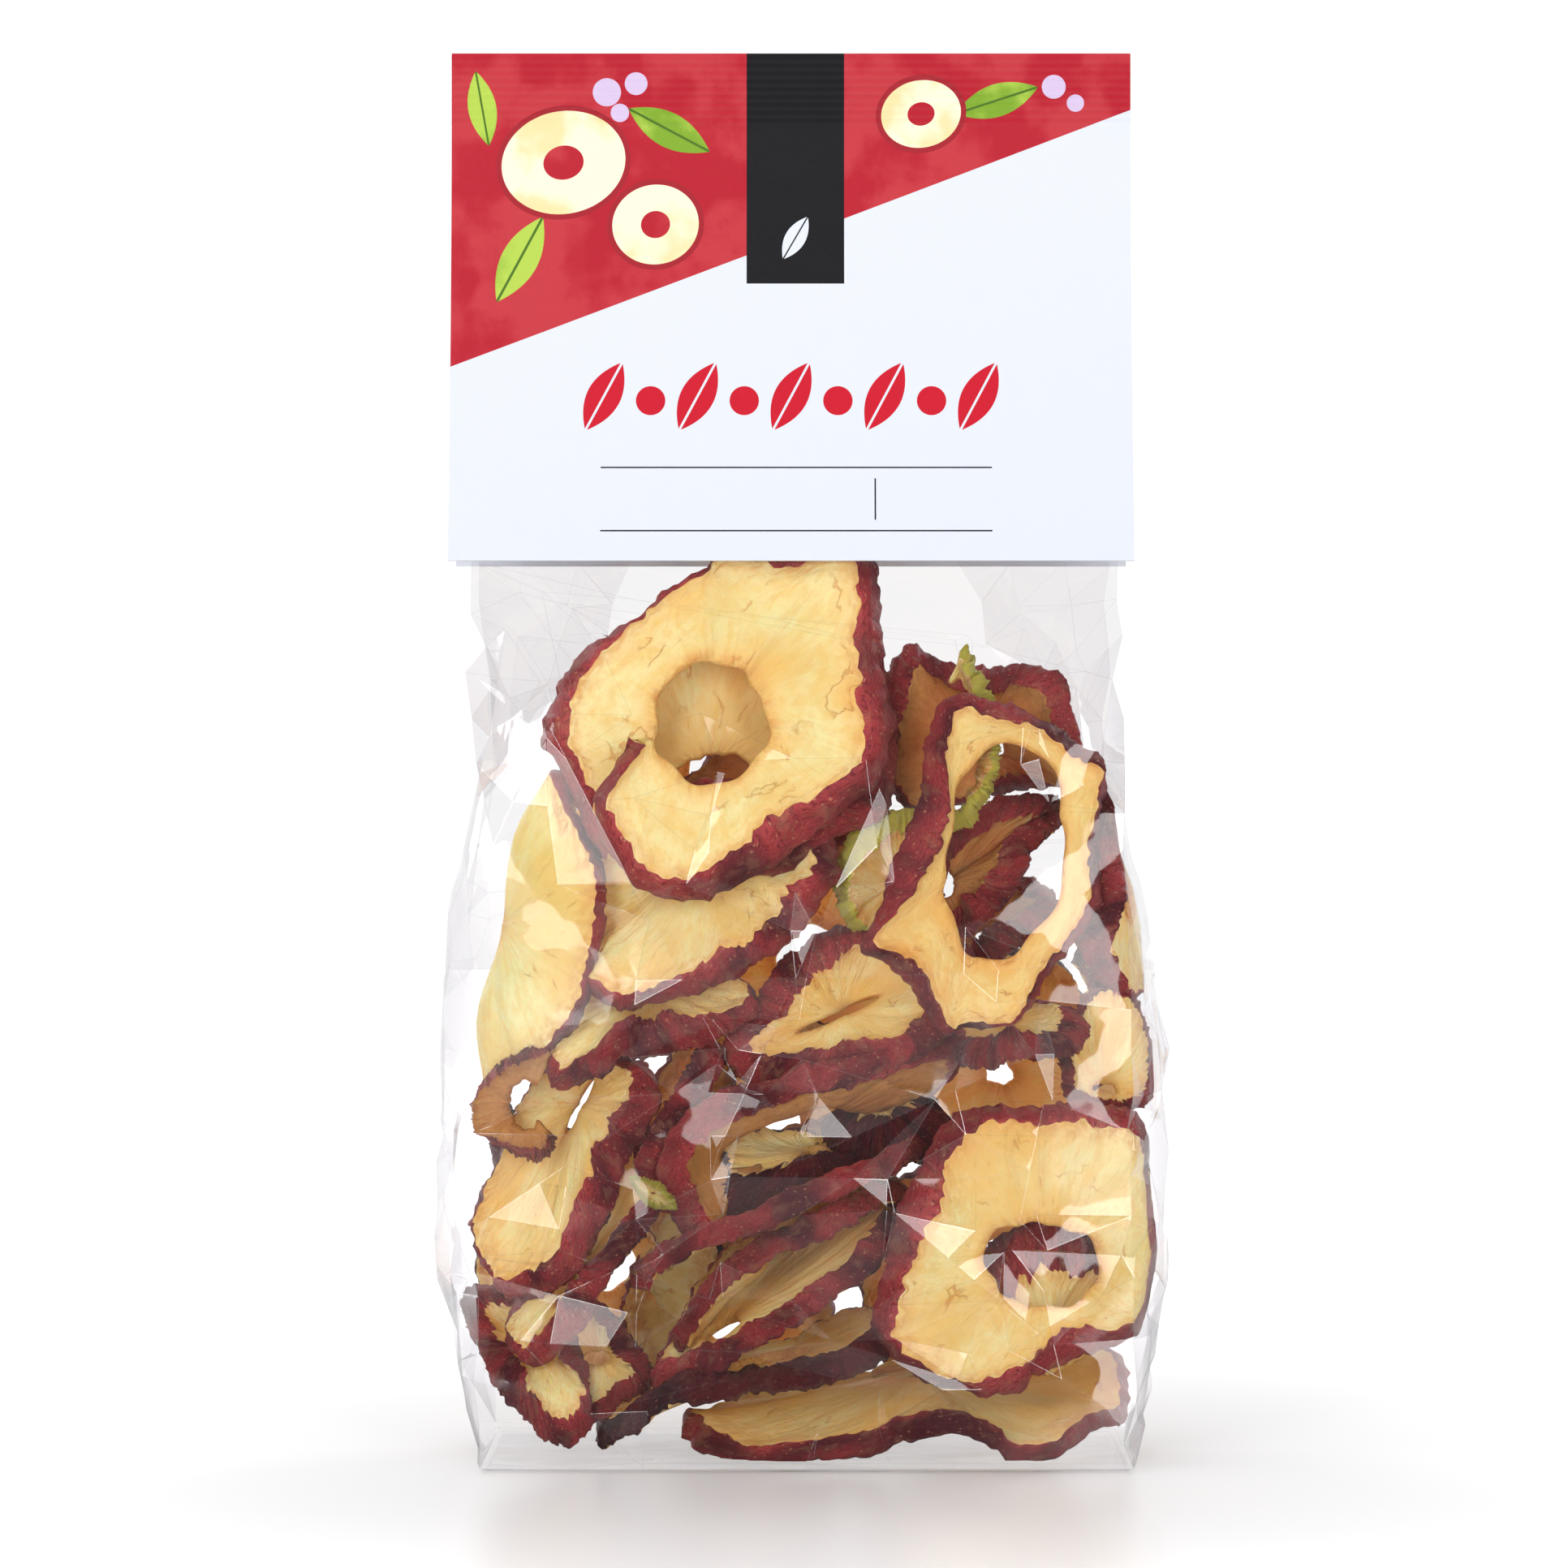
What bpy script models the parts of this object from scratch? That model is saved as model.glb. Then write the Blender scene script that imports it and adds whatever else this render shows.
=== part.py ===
"""A clear block-bottom bag of dried apple rings, closed by a folded header card.

The filled bag is one solid out to its film: a flat oblong base, side gussets that swing out where the
rings press on them and fold in towards the top, and a flat neck that is sealed inside the card.
The card is one strip of board, folded over the neck, with a ribbed seal along its top.

Units are metres, +Z is up and -Y is the front. The origin is on the floor, under the middle of the bag.
"""

import math

import bmesh
import bpy

# The bag, as it is bought flat: a front and a back panel, and a gusset on each side, folded down its middle.
PANEL_WIDTH = 0.118
GUSSET_HALF_WIDTH = 0.031
BASE_EDGE_RADIUS = 0.0015

# The card, folded over the bag's top.
CARD_WIDTH = 0.1253
CARD_HEIGHT = 0.0942
CARD_THICKNESS = 0.0005
CARD_TOP = 0.2581
CARD_CENTRE_X = -0.0023
CARD_HALF_GAP_AT_FOLD = 0.0007
CARD_HALF_GAP_AT_HEM = 0.0122
CARD_SPREAD_POWER = 1.7

# The ribs that the sealing jaws press into the card.
SEAL_DEPTH = 0.0135
SEAL_RIBS = 9
RIB_HEIGHT = 0.00022

# The free space between the film and the card.
CLEARANCE = 0.0003

# The bag leans: its middle is here at the floor and at the card's hem.
BASE_CENTRE_X = 0.0005
NECK_CENTRE_X = -0.0017

# How far each gusset half is swung out (+) or folded in (-), in degrees, from the floor to below the hem.
GUSSET_SWING = (
    (0.000, 0.0),
    (0.014, 8.0),
    (0.038, 16.5),
    (0.070, 15.0),
    (0.098, 10.5),
    (0.118, 0.0),
    (0.134, -26.0),
    (0.150, -50.0),
)

# The gusset's fold fades out inside the card, at this share of the card's height above its hem.
NOTCH_RUN = 0.40

# How far the front and back panels swell beyond the gussets at mid width, and up to what height.
PANEL_SWELL = 0.0035
SWELL_TOP = 0.150

# The shares of that height over which the swell comes on above the floor, and fades out at its top.
SWELL_RISE = 0.25
SWELL_FADE = 0.40

# How finely the solids are divided.
PANEL_SEGMENTS = 8
GUSSET_SEGMENTS = 6
BODY_LEVELS = 22
NECK_LEVELS = 8
BASE_EDGE_SHARES = (0.0, 0.3, 1.0)
CARD_LEVELS = 9

# Edges that turn by more than this are shaded sharp.
SHARP_ANGLE = 35.0

CARD_HEM = CARD_TOP - CARD_HEIGHT
FOLD_INNER_FACE = CARD_TOP - CARD_THICKNESS
SEAL_BOTTOM = CARD_TOP - SEAL_DEPTH
NECK_TOP = FOLD_INNER_FACE - CLEARANCE
NOTCH_END = CARD_HEM + NOTCH_RUN * CARD_HEIGHT


def smooth(share):
    """A smooth step from 0 to 1."""
    share = min(max(share, 0.0), 1.0)
    return share * share * (3.0 - 2.0 * share)


def between(stations, height):
    """The value at a height, eased from station to station."""
    if height <= stations[0][0]:
        return stations[0][1]
    for (low, first), (high, second) in zip(stations, stations[1:]):
        if height <= high:
            return first + (second - first) * smooth((height - low) / (high - low))
    return stations[-1][1]


def card_half_gap(height):
    """Half the distance between the card's inner faces at a height."""
    share = max(0.0, (SEAL_BOTTOM - height) / (SEAL_BOTTOM - CARD_HEM))
    return CARD_HALF_GAP_AT_FOLD + (CARD_HALF_GAP_AT_HEM - CARD_HALF_GAP_AT_FOLD) * share**CARD_SPREAD_POWER


def gusset_shape(height):
    """(half depth of the bag, how far the gusset's middle stands out) at a height.

    Each gusset half keeps its width, so the further it swings, the shallower the bag is."""
    if height >= CARD_HEM:
        depth = card_half_gap(height) - CLEARANCE
        folded = -math.sqrt(GUSSET_HALF_WIDTH**2 - depth**2)
        return depth, folded * (1.0 - smooth((height - CARD_HEM) / (NOTCH_END - CARD_HEM)))
    hem_swing = -math.degrees(math.acos((CARD_HALF_GAP_AT_HEM - CLEARANCE) / GUSSET_HALF_WIDTH))
    stations = GUSSET_SWING + ((CARD_HEM, hem_swing),)
    swing = math.radians(between(stations, height))
    return GUSSET_HALF_WIDTH * math.cos(swing), GUSSET_HALF_WIDTH * math.sin(swing)


def bag_centre_x(height):
    """The middle of the panels at a height."""
    share = min(height / CARD_HEM, 1.0)
    return BASE_CENTRE_X + (NECK_CENTRE_X - BASE_CENTRE_X) * share


def panel_swell(height):
    """How far a panel's middle stands proud at a height: none at the floor, and none at the card."""
    share = height / SWELL_TOP
    return PANEL_SWELL * smooth(share / SWELL_RISE) * smooth((1.0 - share) / SWELL_FADE)


def base_rounding(height):
    """How far the bag's outline draws in at a height, from the rounded edge of its base."""
    below = 1.0 - min(height / BASE_EDGE_RADIUS, 1.0)
    return BASE_EDGE_RADIUS * (1.0 - math.sqrt(1.0 - below**2))


def bag_section(height):
    """The bag's outline at a height, counter-clockwise from its front left corner."""
    depth, stand_out = gusset_shape(height)
    depth -= base_rounding(height)
    half_width = PANEL_WIDTH / 2 - base_rounding(height)
    swell = panel_swell(height)
    points = []
    for index in range(PANEL_SEGMENTS):
        across = -1.0 + 2.0 * index / PANEL_SEGMENTS
        points.append((across * half_width, -depth - swell * (1.0 - across**2)))
    for index in range(GUSSET_SEGMENTS):
        along = -1.0 + 2.0 * index / GUSSET_SEGMENTS
        profile = 1.0 - along**2 if stand_out > 0.0 else 1.0 - abs(along)
        points.append((half_width + stand_out * profile, along * depth))
    turned = [(-x, -y) for x, y in points]
    centre = bag_centre_x(height)
    return [(centre + x, y, height) for x, y in points + turned]


def bag_heights():
    """The heights of the bag's sections: close together at the base's rounded edge."""
    edge = [share * BASE_EDGE_RADIUS for share in BASE_EDGE_SHARES]
    body_step = (CARD_HEM - BASE_EDGE_RADIUS) / BODY_LEVELS
    body = [BASE_EDGE_RADIUS + body_step * level for level in range(1, BODY_LEVELS + 1)]
    neck_step = (NECK_TOP - CARD_HEM) / NECK_LEVELS
    neck = [CARD_HEM + neck_step * level for level in range(1, NECK_LEVELS + 1)]
    return edge + body + neck


def material(name, colour, roughness):
    """A Principled BSDF of one colour."""
    made = bpy.data.materials.new(name)
    made.use_nodes = True
    shader = made.node_tree.nodes["Principled BSDF"]
    shader.inputs["Base Color"].default_value = (*colour, 1.0)
    shader.inputs["Roughness"].default_value = roughness
    shader.inputs["Metallic"].default_value = 0.0
    made.diffuse_color = (*colour, 1.0)
    return made


def add_object(name, mesh, collection, surface):
    """A named object of this mesh, in the collection, with its material."""
    made = bpy.data.objects.new(name, mesh)
    made.data.materials.append(surface)
    collection.objects.link(made)
    return made


def make_bag(collection):
    """The filled bag: a loft through its sections, closed at the floor and at the top of the neck."""
    shape = bmesh.new()
    rings = [[shape.verts.new(point) for point in bag_section(height)] for height in bag_heights()]
    for lower, upper in zip(rings, rings[1:]):
        for index, corner in enumerate(lower):
            after = (index + 1) % len(lower)
            shape.faces.new((corner, lower[after], upper[after], upper[index]))
    shape.faces.new(reversed(rings[0]))
    shape.faces.new(rings[-1])
    bmesh.ops.recalc_face_normals(shape, faces=shape.faces)
    mesh = bpy.data.meshes.new("bag")
    shape.to_mesh(mesh)
    shape.free()
    mesh.shade_smooth()
    mesh.set_sharp_from_angle(angle=math.radians(SHARP_ANGLE))
    film = material("filled_clear_film", (0.86, 0.68, 0.40), 0.15)
    return add_object("bag", mesh, collection, film)


def card_profile():
    """The inner face of the folded card, seen from its end: up the front, over the fold and down the back."""
    up_front = []
    for level in range(CARD_LEVELS):
        height = CARD_HEM + (SEAL_BOTTOM - CARD_HEM) * level / CARD_LEVELS
        up_front.append((-card_half_gap(height), height))
    flanks = 2 * SEAL_RIBS
    for flank in range(flanks + 1):
        height = SEAL_BOTTOM + (FOLD_INNER_FACE - SEAL_BOTTOM) * flank / flanks
        proud = RIB_HEIGHT if flank % 2 else 0.0
        up_front.append((-CARD_HALF_GAP_AT_FOLD - proud, height))
    down_back = [(-y, height) for y, height in reversed(up_front)]
    return up_front + down_back


def make_card(collection):
    """The header card: its profile drawn out to the card's width, and given the board's thickness."""
    left = CARD_CENTRE_X - CARD_WIDTH / 2
    shape = bmesh.new()
    line = [shape.verts.new((left, y, height)) for y, height in card_profile()]
    edges = [shape.edges.new(pair) for pair in zip(line, line[1:])]
    drawn = bmesh.ops.extrude_edge_only(shape, edges=edges)
    moved = [item for item in drawn["geom"] if isinstance(item, bmesh.types.BMVert)]
    bmesh.ops.translate(shape, verts=moved, vec=(CARD_WIDTH, 0.0, 0.0))
    mesh = bpy.data.meshes.new("header_card")
    shape.to_mesh(mesh)
    shape.free()
    board = material("printed_board", (0.93, 0.93, 0.95), 0.45)
    card = add_object("header_card", mesh, collection, board)
    thickness = card.modifiers.new("board thickness", "SOLIDIFY")
    thickness.thickness = CARD_THICKNESS
    thickness.offset = 1.0
    thickness.use_even_offset = True
    return card


def main():
    for old in list(bpy.data.objects):
        bpy.data.objects.remove(old)
    collection = bpy.data.collections.new("bag_of_dried_apple_rings")
    bpy.context.scene.collection.children.link(collection)
    make_bag(collection)
    make_card(collection)


main()
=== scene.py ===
# %% [markdown]
# A clear bag of dried apple rings
#
# The pack is a block-bottom bag of clear film, filled with dried apple slices and closed by a folded card.
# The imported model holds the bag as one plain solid, and the card as a thin folded board. This script keeps
# the board and gives it its print, and puts a film with real slices inside it where the plain solid was.
# Lengths are in metres, and MM is one millimetre. The slices, the creases and the printed shapes are given
# in plain millimetres, because they were measured so. The front of the pack looks along -Y.

import math

import bpy
import numpy as np
from mathutils import Matrix, Vector


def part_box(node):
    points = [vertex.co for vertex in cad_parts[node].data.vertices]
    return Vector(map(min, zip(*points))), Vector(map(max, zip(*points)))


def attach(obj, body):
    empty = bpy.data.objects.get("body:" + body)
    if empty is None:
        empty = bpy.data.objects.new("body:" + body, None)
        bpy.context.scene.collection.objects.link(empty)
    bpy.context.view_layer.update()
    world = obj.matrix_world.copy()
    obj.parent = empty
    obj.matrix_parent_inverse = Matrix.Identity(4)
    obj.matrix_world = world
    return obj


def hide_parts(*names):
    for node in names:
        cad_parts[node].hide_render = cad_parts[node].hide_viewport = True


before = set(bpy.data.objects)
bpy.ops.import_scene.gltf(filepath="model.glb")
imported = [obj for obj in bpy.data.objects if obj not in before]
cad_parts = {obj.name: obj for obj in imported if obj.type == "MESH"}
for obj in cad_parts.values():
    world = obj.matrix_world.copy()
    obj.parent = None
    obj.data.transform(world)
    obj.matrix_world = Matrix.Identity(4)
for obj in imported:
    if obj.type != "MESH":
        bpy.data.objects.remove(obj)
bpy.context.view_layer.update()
MM = 0.001

# %% [markdown]
# The studio
#
# Clear film only shows by what it mirrors, so it needs bright soft boxes beside the camera and something
# darker between them. The camera looks level at the middle of the bag from a metre away, and sees white on
# all sides: the wall behind glows evenly, and the floor glows too, but not near the pack, where its soft
# shadow falls. To a mirror, the sky and the floor are a dim grey instead, because white would veil the film.
# The box overhead lights the pack and isn't mirrored at all, for the same reason.

# %% Camera
CAMERA_PLACE = (-3.6 * MM, -1.0, 123.2 * MM)
CAMERA_LENS = 124.2
SENSOR_WIDTH = 36.0
NEAREST_SEEN = 0.01

camera_data = bpy.data.cameras.new("camera")
camera_data.lens = CAMERA_LENS
camera_data.sensor_width = SENSOR_WIDTH
camera_data.clip_start = NEAREST_SEEN
camera = bpy.data.objects.new("camera", camera_data)
camera.location = CAMERA_PLACE
camera.rotation_euler = (math.radians(90.0), 0.0, 0.0)
bpy.context.scene.collection.objects.link(camera)
bpy.context.scene.camera = camera
print("camera at", CAMERA_PLACE)

# %% Helpers for selecting and for materials
def start_clean():
    """Leaves edit mode and deselects everything, so that the next operator meets only what it should."""
    if bpy.context.object and bpy.context.object.mode != "OBJECT":
        bpy.ops.object.mode_set(mode="OBJECT")
    bpy.ops.object.select_all(action="DESELECT")


def pick(piece):
    """Makes one object the only selected and active one."""
    start_clean()
    piece.select_set(True)
    bpy.context.view_layer.objects.active = piece


def add_copy(name, mesh):
    """A new object with a copy of a mesh."""
    made = bpy.data.objects.new(name, mesh.copy())
    bpy.context.scene.collection.objects.link(made)
    return made


def feed(tree, target, values):
    """Sets each named or numbered socket of a node to a value, or feeds it from another node's socket."""
    for name, value in values.items():
        if isinstance(value, bpy.types.NodeSocket):
            tree.links.new(value, target.inputs[name])
        else:
            target.inputs[name].default_value = value


def node(tree, kind, values=None, **settings):
    """Adds a node with these settings, and feeds its sockets."""
    made = tree.nodes.new(kind)
    for name, value in settings.items():
        setattr(made, name, value)
    feed(tree, made, values or {})
    return made


def calculate(tree, operation, first, second=0.0, third=0.0):
    """One sum of the Math node, and its result."""
    return node(tree, "ShaderNodeMath", {0: first, 1: second, 2: third}, operation=operation).outputs[0]


def times(tree, first, second):
    """The product of two values."""
    return calculate(tree, "MULTIPLY", first, second)


def blend(tree, share, under, over):
    """Lays one colour over another by a share."""
    return node(tree, "ShaderNodeMix", {0: share, 6: under, 7: over}, data_type="RGBA").outputs[2]


def noise(tree, place, scale, detail, roughness=0.5):
    """A noise texture's value at a place."""
    values = {"Vector": place, "Scale": scale, "Detail": detail, "Roughness": roughness}
    return node(tree, "ShaderNodeTexNoise", values).outputs["Fac"]


def rescale(tree, value, low, high, to_low=0.0, to_high=1.0):
    """Maps a value smoothly from one range to another."""
    values = {"Value": value, "From Min": low, "From Max": high, "To Min": to_low, "To Max": to_high}
    return node(tree, "ShaderNodeMapRange", values, interpolation_type="SMOOTHSTEP").outputs["Result"]


def new_material(name):
    """A material with only a Principled BSDF and its output, and that shader."""
    made = bpy.data.materials.new(name)
    made.use_nodes = True
    return made, made.node_tree, made.node_tree.nodes["Principled BSDF"]


# %% Floor, wall and lights
FLOOR_SIZE = 9.0
FLOOR_HEIGHT = -0.3 * MM
WALL_PLACE = (0.0, 2.6, 3.6)
SKY_SEEN = 1.0
SKY_LIGHTS = 0.20
SKY_MIRRORED = 0.13
SKY_TINT = (0.97, 0.96, 1.0, 1.0)
GLOW_TINT = (1.0, 1.0, 1.0, 1.0)
FLOOR_WHITE = (0.92, 0.92, 0.93, 1.0)
FLOOR_MIRRORED = (0.18, 0.18, 0.18, 1.0)
FLOOR_ROUGHNESS = 0.32
FLOOR_GLOW = 0.46
GLOW_FROM = 0.05
GLOW_FULL = 0.40
WALL_BASE = (0.02, 0.02, 0.02, 1.0)
WALL_ROUGHNESS = 0.9
WALL_GLOW = 1.0


def stage_plane(name, place, tilt, material):
    """A large plane that belongs to the studio."""
    start_clean()
    turned = (math.radians(tilt), 0.0, 0.0)
    bpy.ops.mesh.primitive_plane_add(size=FLOOR_SIZE, location=place, rotation=turned)
    made = bpy.context.object
    made.name = name
    made.data.materials.append(material)


floor_material, floor_tree, floor_shader = new_material("floor_white")
floor_in_mirror = node(floor_tree, "ShaderNodeLightPath").outputs["Is Glossy Ray"]
floor_place = node(floor_tree, "ShaderNodeTexCoord").outputs["Object"]
far_off = node(floor_tree, "ShaderNodeVectorMath", {0: floor_place}, operation="LENGTH").outputs["Value"]
feed(floor_tree, floor_shader, {
    "Base Color": blend(floor_tree, floor_in_mirror, FLOOR_WHITE, FLOOR_MIRRORED),
    "Roughness": FLOOR_ROUGHNESS,
    "Emission Color": GLOW_TINT,
    "Emission Strength": rescale(floor_tree, far_off, GLOW_FROM, GLOW_FULL, 0.0, FLOOR_GLOW),
})
wall_material, wall_tree, wall_shader = new_material("wall_white")
feed(wall_tree, wall_shader, {
    "Base Color": WALL_BASE, "Roughness": WALL_ROUGHNESS, "Emission Color": GLOW_TINT,
    "Emission Strength": WALL_GLOW,
})
stage_plane("floor", (0.0, 0.0, FLOOR_HEIGHT), 0.0, floor_material)
stage_plane("wall", WALL_PLACE, 90.0, wall_material)

world = bpy.data.worlds.new("studio")
world.use_nodes = True
bpy.context.scene.world = world
sky_tree = world.node_tree
path = node(sky_tree, "ShaderNodeLightPath")
seen_by_camera = path.outputs["Is Camera Ray"]
dimmed = rescale(sky_tree, path.outputs["Is Glossy Ray"], 0.0, 1.0, SKY_LIGHTS, SKY_MIRRORED)
feed(sky_tree, sky_tree.nodes["Background"], {
    "Color": blend(sky_tree, seen_by_camera, SKY_TINT, GLOW_TINT),
    "Strength": node(sky_tree, "ShaderNodeMix", {0: seen_by_camera, 2: dimmed, 3: SKY_SEEN}).outputs[0],
})
bpy.context.scene.view_settings.view_transform = "Standard"


def soft_box(name, place, aim, width, height, brightness, mirrored=True):
    """A rectangular studio light of a given surface brightness, turned towards a point."""
    data = bpy.data.lights.new(name, "AREA")
    data.shape = "RECTANGLE"
    data.size = width
    data.size_y = height
    data.energy = brightness * math.pi * width * height
    made = bpy.data.objects.new(name, data)
    made.location = place
    made.rotation_euler = (Vector(aim) - Vector(place)).to_track_quat("-Z", "Y").to_euler()
    made.visible_camera = False
    made.visible_glossy = mirrored
    bpy.context.scene.collection.objects.link(made)
    return made


PACK_MIDDLE = (0.0, 0.0, 0.12)
soft_box("box_left", (-0.55, -1.10, 0.36), PACK_MIDDLE, 0.42, 0.95, 5.1)
soft_box("box_right", (0.52, -1.15, 0.20), PACK_MIDDLE, 0.30, 0.80, 6.8)
soft_box("box_over", (-0.15, -0.35, 1.30), PACK_MIDDLE, 1.0, 0.9, 2.6, mirrored=False)
soft_box("box_back_left", (-0.9, 1.0, 0.7), PACK_MIDDLE, 0.6, 0.9, 2.4)
soft_box("box_back_right", (0.9, 1.0, 0.7), PACK_MIDDLE, 0.6, 0.9, 2.4)

# %% [markdown]
# Shared effects
#
# Dried flesh, skin, printed board and film are all uneven in the same plain way: patches of more and less.
# One node group, Mottle, makes such patches from noise, and each material sets its own size and contrast.
# Wrinkles are a second group, because the skin and the flesh both crumple across the rim as they dry.

# %% Node groups
def new_group(name, inputs, outputs):
    """A node group, its inputs and its end node. An input is a number with a default, or a place (None)."""
    group = bpy.data.node_groups.new(name, "ShaderNodeTree")
    for title, default in inputs.items():
        kind = "NodeSocketVector" if default is None else "NodeSocketFloat"
        socket = group.interface.new_socket(title, in_out="INPUT", socket_type=kind)
        if default is not None:
            socket.default_value = default
    for title in outputs:
        group.interface.new_socket(title, in_out="OUTPUT", socket_type="NodeSocketFloat")
    return group, group.nodes.new("NodeGroupInput").outputs, group.nodes.new("NodeGroupOutput")


def use_group(tree, group, **values):
    """Places a node group, with its inputs given by name. An underscore in a name stands for a space."""
    named = {title.replace("_", " "): value for title, value in values.items()}
    return node(tree, "ShaderNodeGroup", named, node_tree=group).outputs


mottle, came, goes = new_group(
    "Mottle", {"Place": None, "Fineness": 100.0, "Detail": 4.0, "Low": 0.4, "High": 0.6}, ["Mask"]
)
patches = noise(mottle, came["Place"], came["Fineness"], came["Detail"])
feed(mottle, goes, {"Mask": rescale(mottle, patches, came["Low"], came["High"])})

wrinkles, came, goes = new_group("Rim wrinkles", {"Rim place": None, "Count": 22.0}, ["Height"])
folds = noise(wrinkles, came["Rim place"], came["Count"], detail=4.0, roughness=0.6)
feed(wrinkles, goes, {"Height": folds})


def mottled(tree, place, fineness, detail, low, high):
    """The Mottle group's mask at a place."""
    return use_group(tree, mottle, Place=place, Fineness=fineness, Detail=detail, Low=low, High=high)["Mask"]


print("node groups", [group.name for group in (mottle, wrinkles)])

# %% [markdown]
# Apple flesh and skin
#
# A dried slice is leathery and lets a little light through, so it glows orange where it is lit from behind.
# The flesh is cream, gold in patches and in faint rays from core to rim, turning brown round the core and by
# the skin, and marked with fine fibres and short cracks. Its pattern has to follow the slice when it curls,
# so it is read from where each point lay on the flat slice, which the mesh keeps as an attribute. A slice
# that lies in shade in the bag gets a gold or a brown copy of the flesh instead, as painted shade. The skin
# is burgundy with cross wrinkles, paler pores and freckles, with painted shade in the wrinkles' valleys and
# a painted highlight on their crests. A darker copy of it is painted shade for slices that lie far into the
# bag, and a yellow-green kind is left of an apple that wasn't red all over.

# %% Layers and finish of a slice
BUMP_DEPTH = 0.5 * MM


def kept_by_slice(tree, title, output="Vector"):
    """What a slice's mesh keeps for each of its points under a title."""
    return node(tree, "ShaderNodeAttribute", attribute_name=title).outputs[output]


def layered(tree, tint, layers):
    """Lays colours one over another, each as strongly as its share says."""
    for share, colour in layers:
        tint = blend(tree, share, tint, colour)
    return tint


def finish_slice(tree, shader, tint, roughness, relief, bumpiness, light_let_in):
    """Feeds a slice's shader. The light let in has a share, a reach for each colour, and a scale."""
    bump = node(tree, "ShaderNodeBump", {"Height": relief, "Strength": bumpiness, "Distance": BUMP_DEPTH})
    share, reach, scale = light_let_in
    feed(tree, shader, {
        "Base Color": tint, "Roughness": roughness, "Normal": bump.outputs["Normal"],
        "Subsurface Weight": share, "Subsurface Radius": reach, "Subsurface Scale": scale,
    })


def opaque(*colours):
    """Colours as a colour socket takes them."""
    return [(*colour, 1.0) for colour in colours]


# %% Flesh
RAYS_BENT = (24.0, 24.0, 24.0)
FIBRES_STRETCHED = (1.0, 1.0, 0.22)
FLESH_LETS_IN = (0.55, (1.0, 0.50, 0.18), 0.0045)


def flesh_material(name, cream, gold, brown):
    """Dried flesh in three colours, from its palest to its brownest."""
    made, tree, shader = new_material(name)
    place = kept_by_slice(tree, "slice_place")
    rim = kept_by_slice(tree, "rim_place")
    across = kept_by_slice(tree, "across", "Fac")
    broad = mottled(tree, place, fineness=62.0, detail=4.0, low=0.42, high=0.64)
    fine = mottled(tree, place, fineness=320.0, detail=5.0, low=0.42, high=0.68)
    grains = mottled(tree, place, fineness=800.0, detail=6.0, low=0.42, high=0.64)

    bent = {0: place, 1: RAYS_BENT, 2: rim}
    outwards = node(tree, "ShaderNodeVectorMath", bent, operation="MULTIPLY_ADD").outputs["Vector"]
    rays = use_group(tree, wrinkles, Rim_place=outwards, Count=9.0)["Height"]
    by_core = rescale(tree, across, 0.18, 0.0)
    by_skin = rescale(tree, across, 0.80, 1.0, to_high=0.8)
    stained = calculate(tree, "MAXIMUM", by_core, by_skin)
    stained = times(tree, stained, rescale(tree, rays, 0.34, 0.60, to_low=0.15, to_high=0.75))

    stretched = node(tree, "ShaderNodeMapping", {"Vector": place, "Scale": FIBRES_STRETCHED}).outputs
    fibres = mottled(tree, stretched["Vector"], fineness=1150.0, detail=2.0, low=0.66, high=0.76)
    fibres = times(tree, fibres, mottled(tree, place, fineness=120.0, detail=1.0, low=0.50, high=0.62))
    off_line = calculate(tree, "SUBTRACT", noise(tree, place, scale=150.0, detail=5.0), 0.5)
    cracks = rescale(tree, calculate(tree, "ABSOLUTE", off_line), 0.018, 0.0)
    cracks = times(tree, cracks, mottled(tree, place, fineness=210.0, detail=2.0, low=0.54, high=0.66))
    tint = layered(tree, cream, [
        (times(tree, broad, 0.85), gold),
        (times(tree, fine, 0.35), gold),
        (rescale(tree, rays, 0.50, 0.70, to_high=0.45), gold),
        (rescale(tree, across, 0.45, 0.0, to_high=0.6), gold),
        (stained, brown),
        (times(tree, fibres, 0.55), brown),
        (times(tree, grains, 0.30), gold),
        (times(tree, cracks, 0.55), brown),
    ])

    relief = noise(tree, place, scale=900.0, detail=4.0)
    relief = calculate(tree, "SUBTRACT", relief, times(tree, cracks, 0.8))
    relief = calculate(tree, "ADD", relief, times(tree, rays, 1.5))
    relief = calculate(tree, "MULTIPLY_ADD", noise(tree, place, scale=170.0, detail=3.0), 2.0, relief)
    roughness = rescale(tree, fine, 0.0, 1.0, to_low=0.52, to_high=0.72)
    finish_slice(tree, shader, tint, roughness, relief, 0.65, FLESH_LETS_IN)
    return made


# The cream flesh is the apple's own colour. The other two are darker copies of it, painted shade for slices
# that lie in shade in the bag.
FLESH_COLOURS = {
    "cream": opaque((0.94, 0.76, 0.37), (0.89, 0.54, 0.15), (0.62, 0.25, 0.05)),
    "golden_painted_shade": opaque((0.92, 0.64, 0.25), (0.84, 0.45, 0.11), (0.52, 0.20, 0.04)),
    "brown_painted_shade": opaque((0.60, 0.30, 0.09), (0.46, 0.20, 0.05), (0.28, 0.10, 0.02)),
}
FLESH = {tone: flesh_material(f"{tone}_flesh", *colours) for tone, colours in FLESH_COLOURS.items()}

# %% Skin
SKIN_LETS_IN = (0.10, (1.0, 0.25, 0.2), 0.0015)


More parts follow.
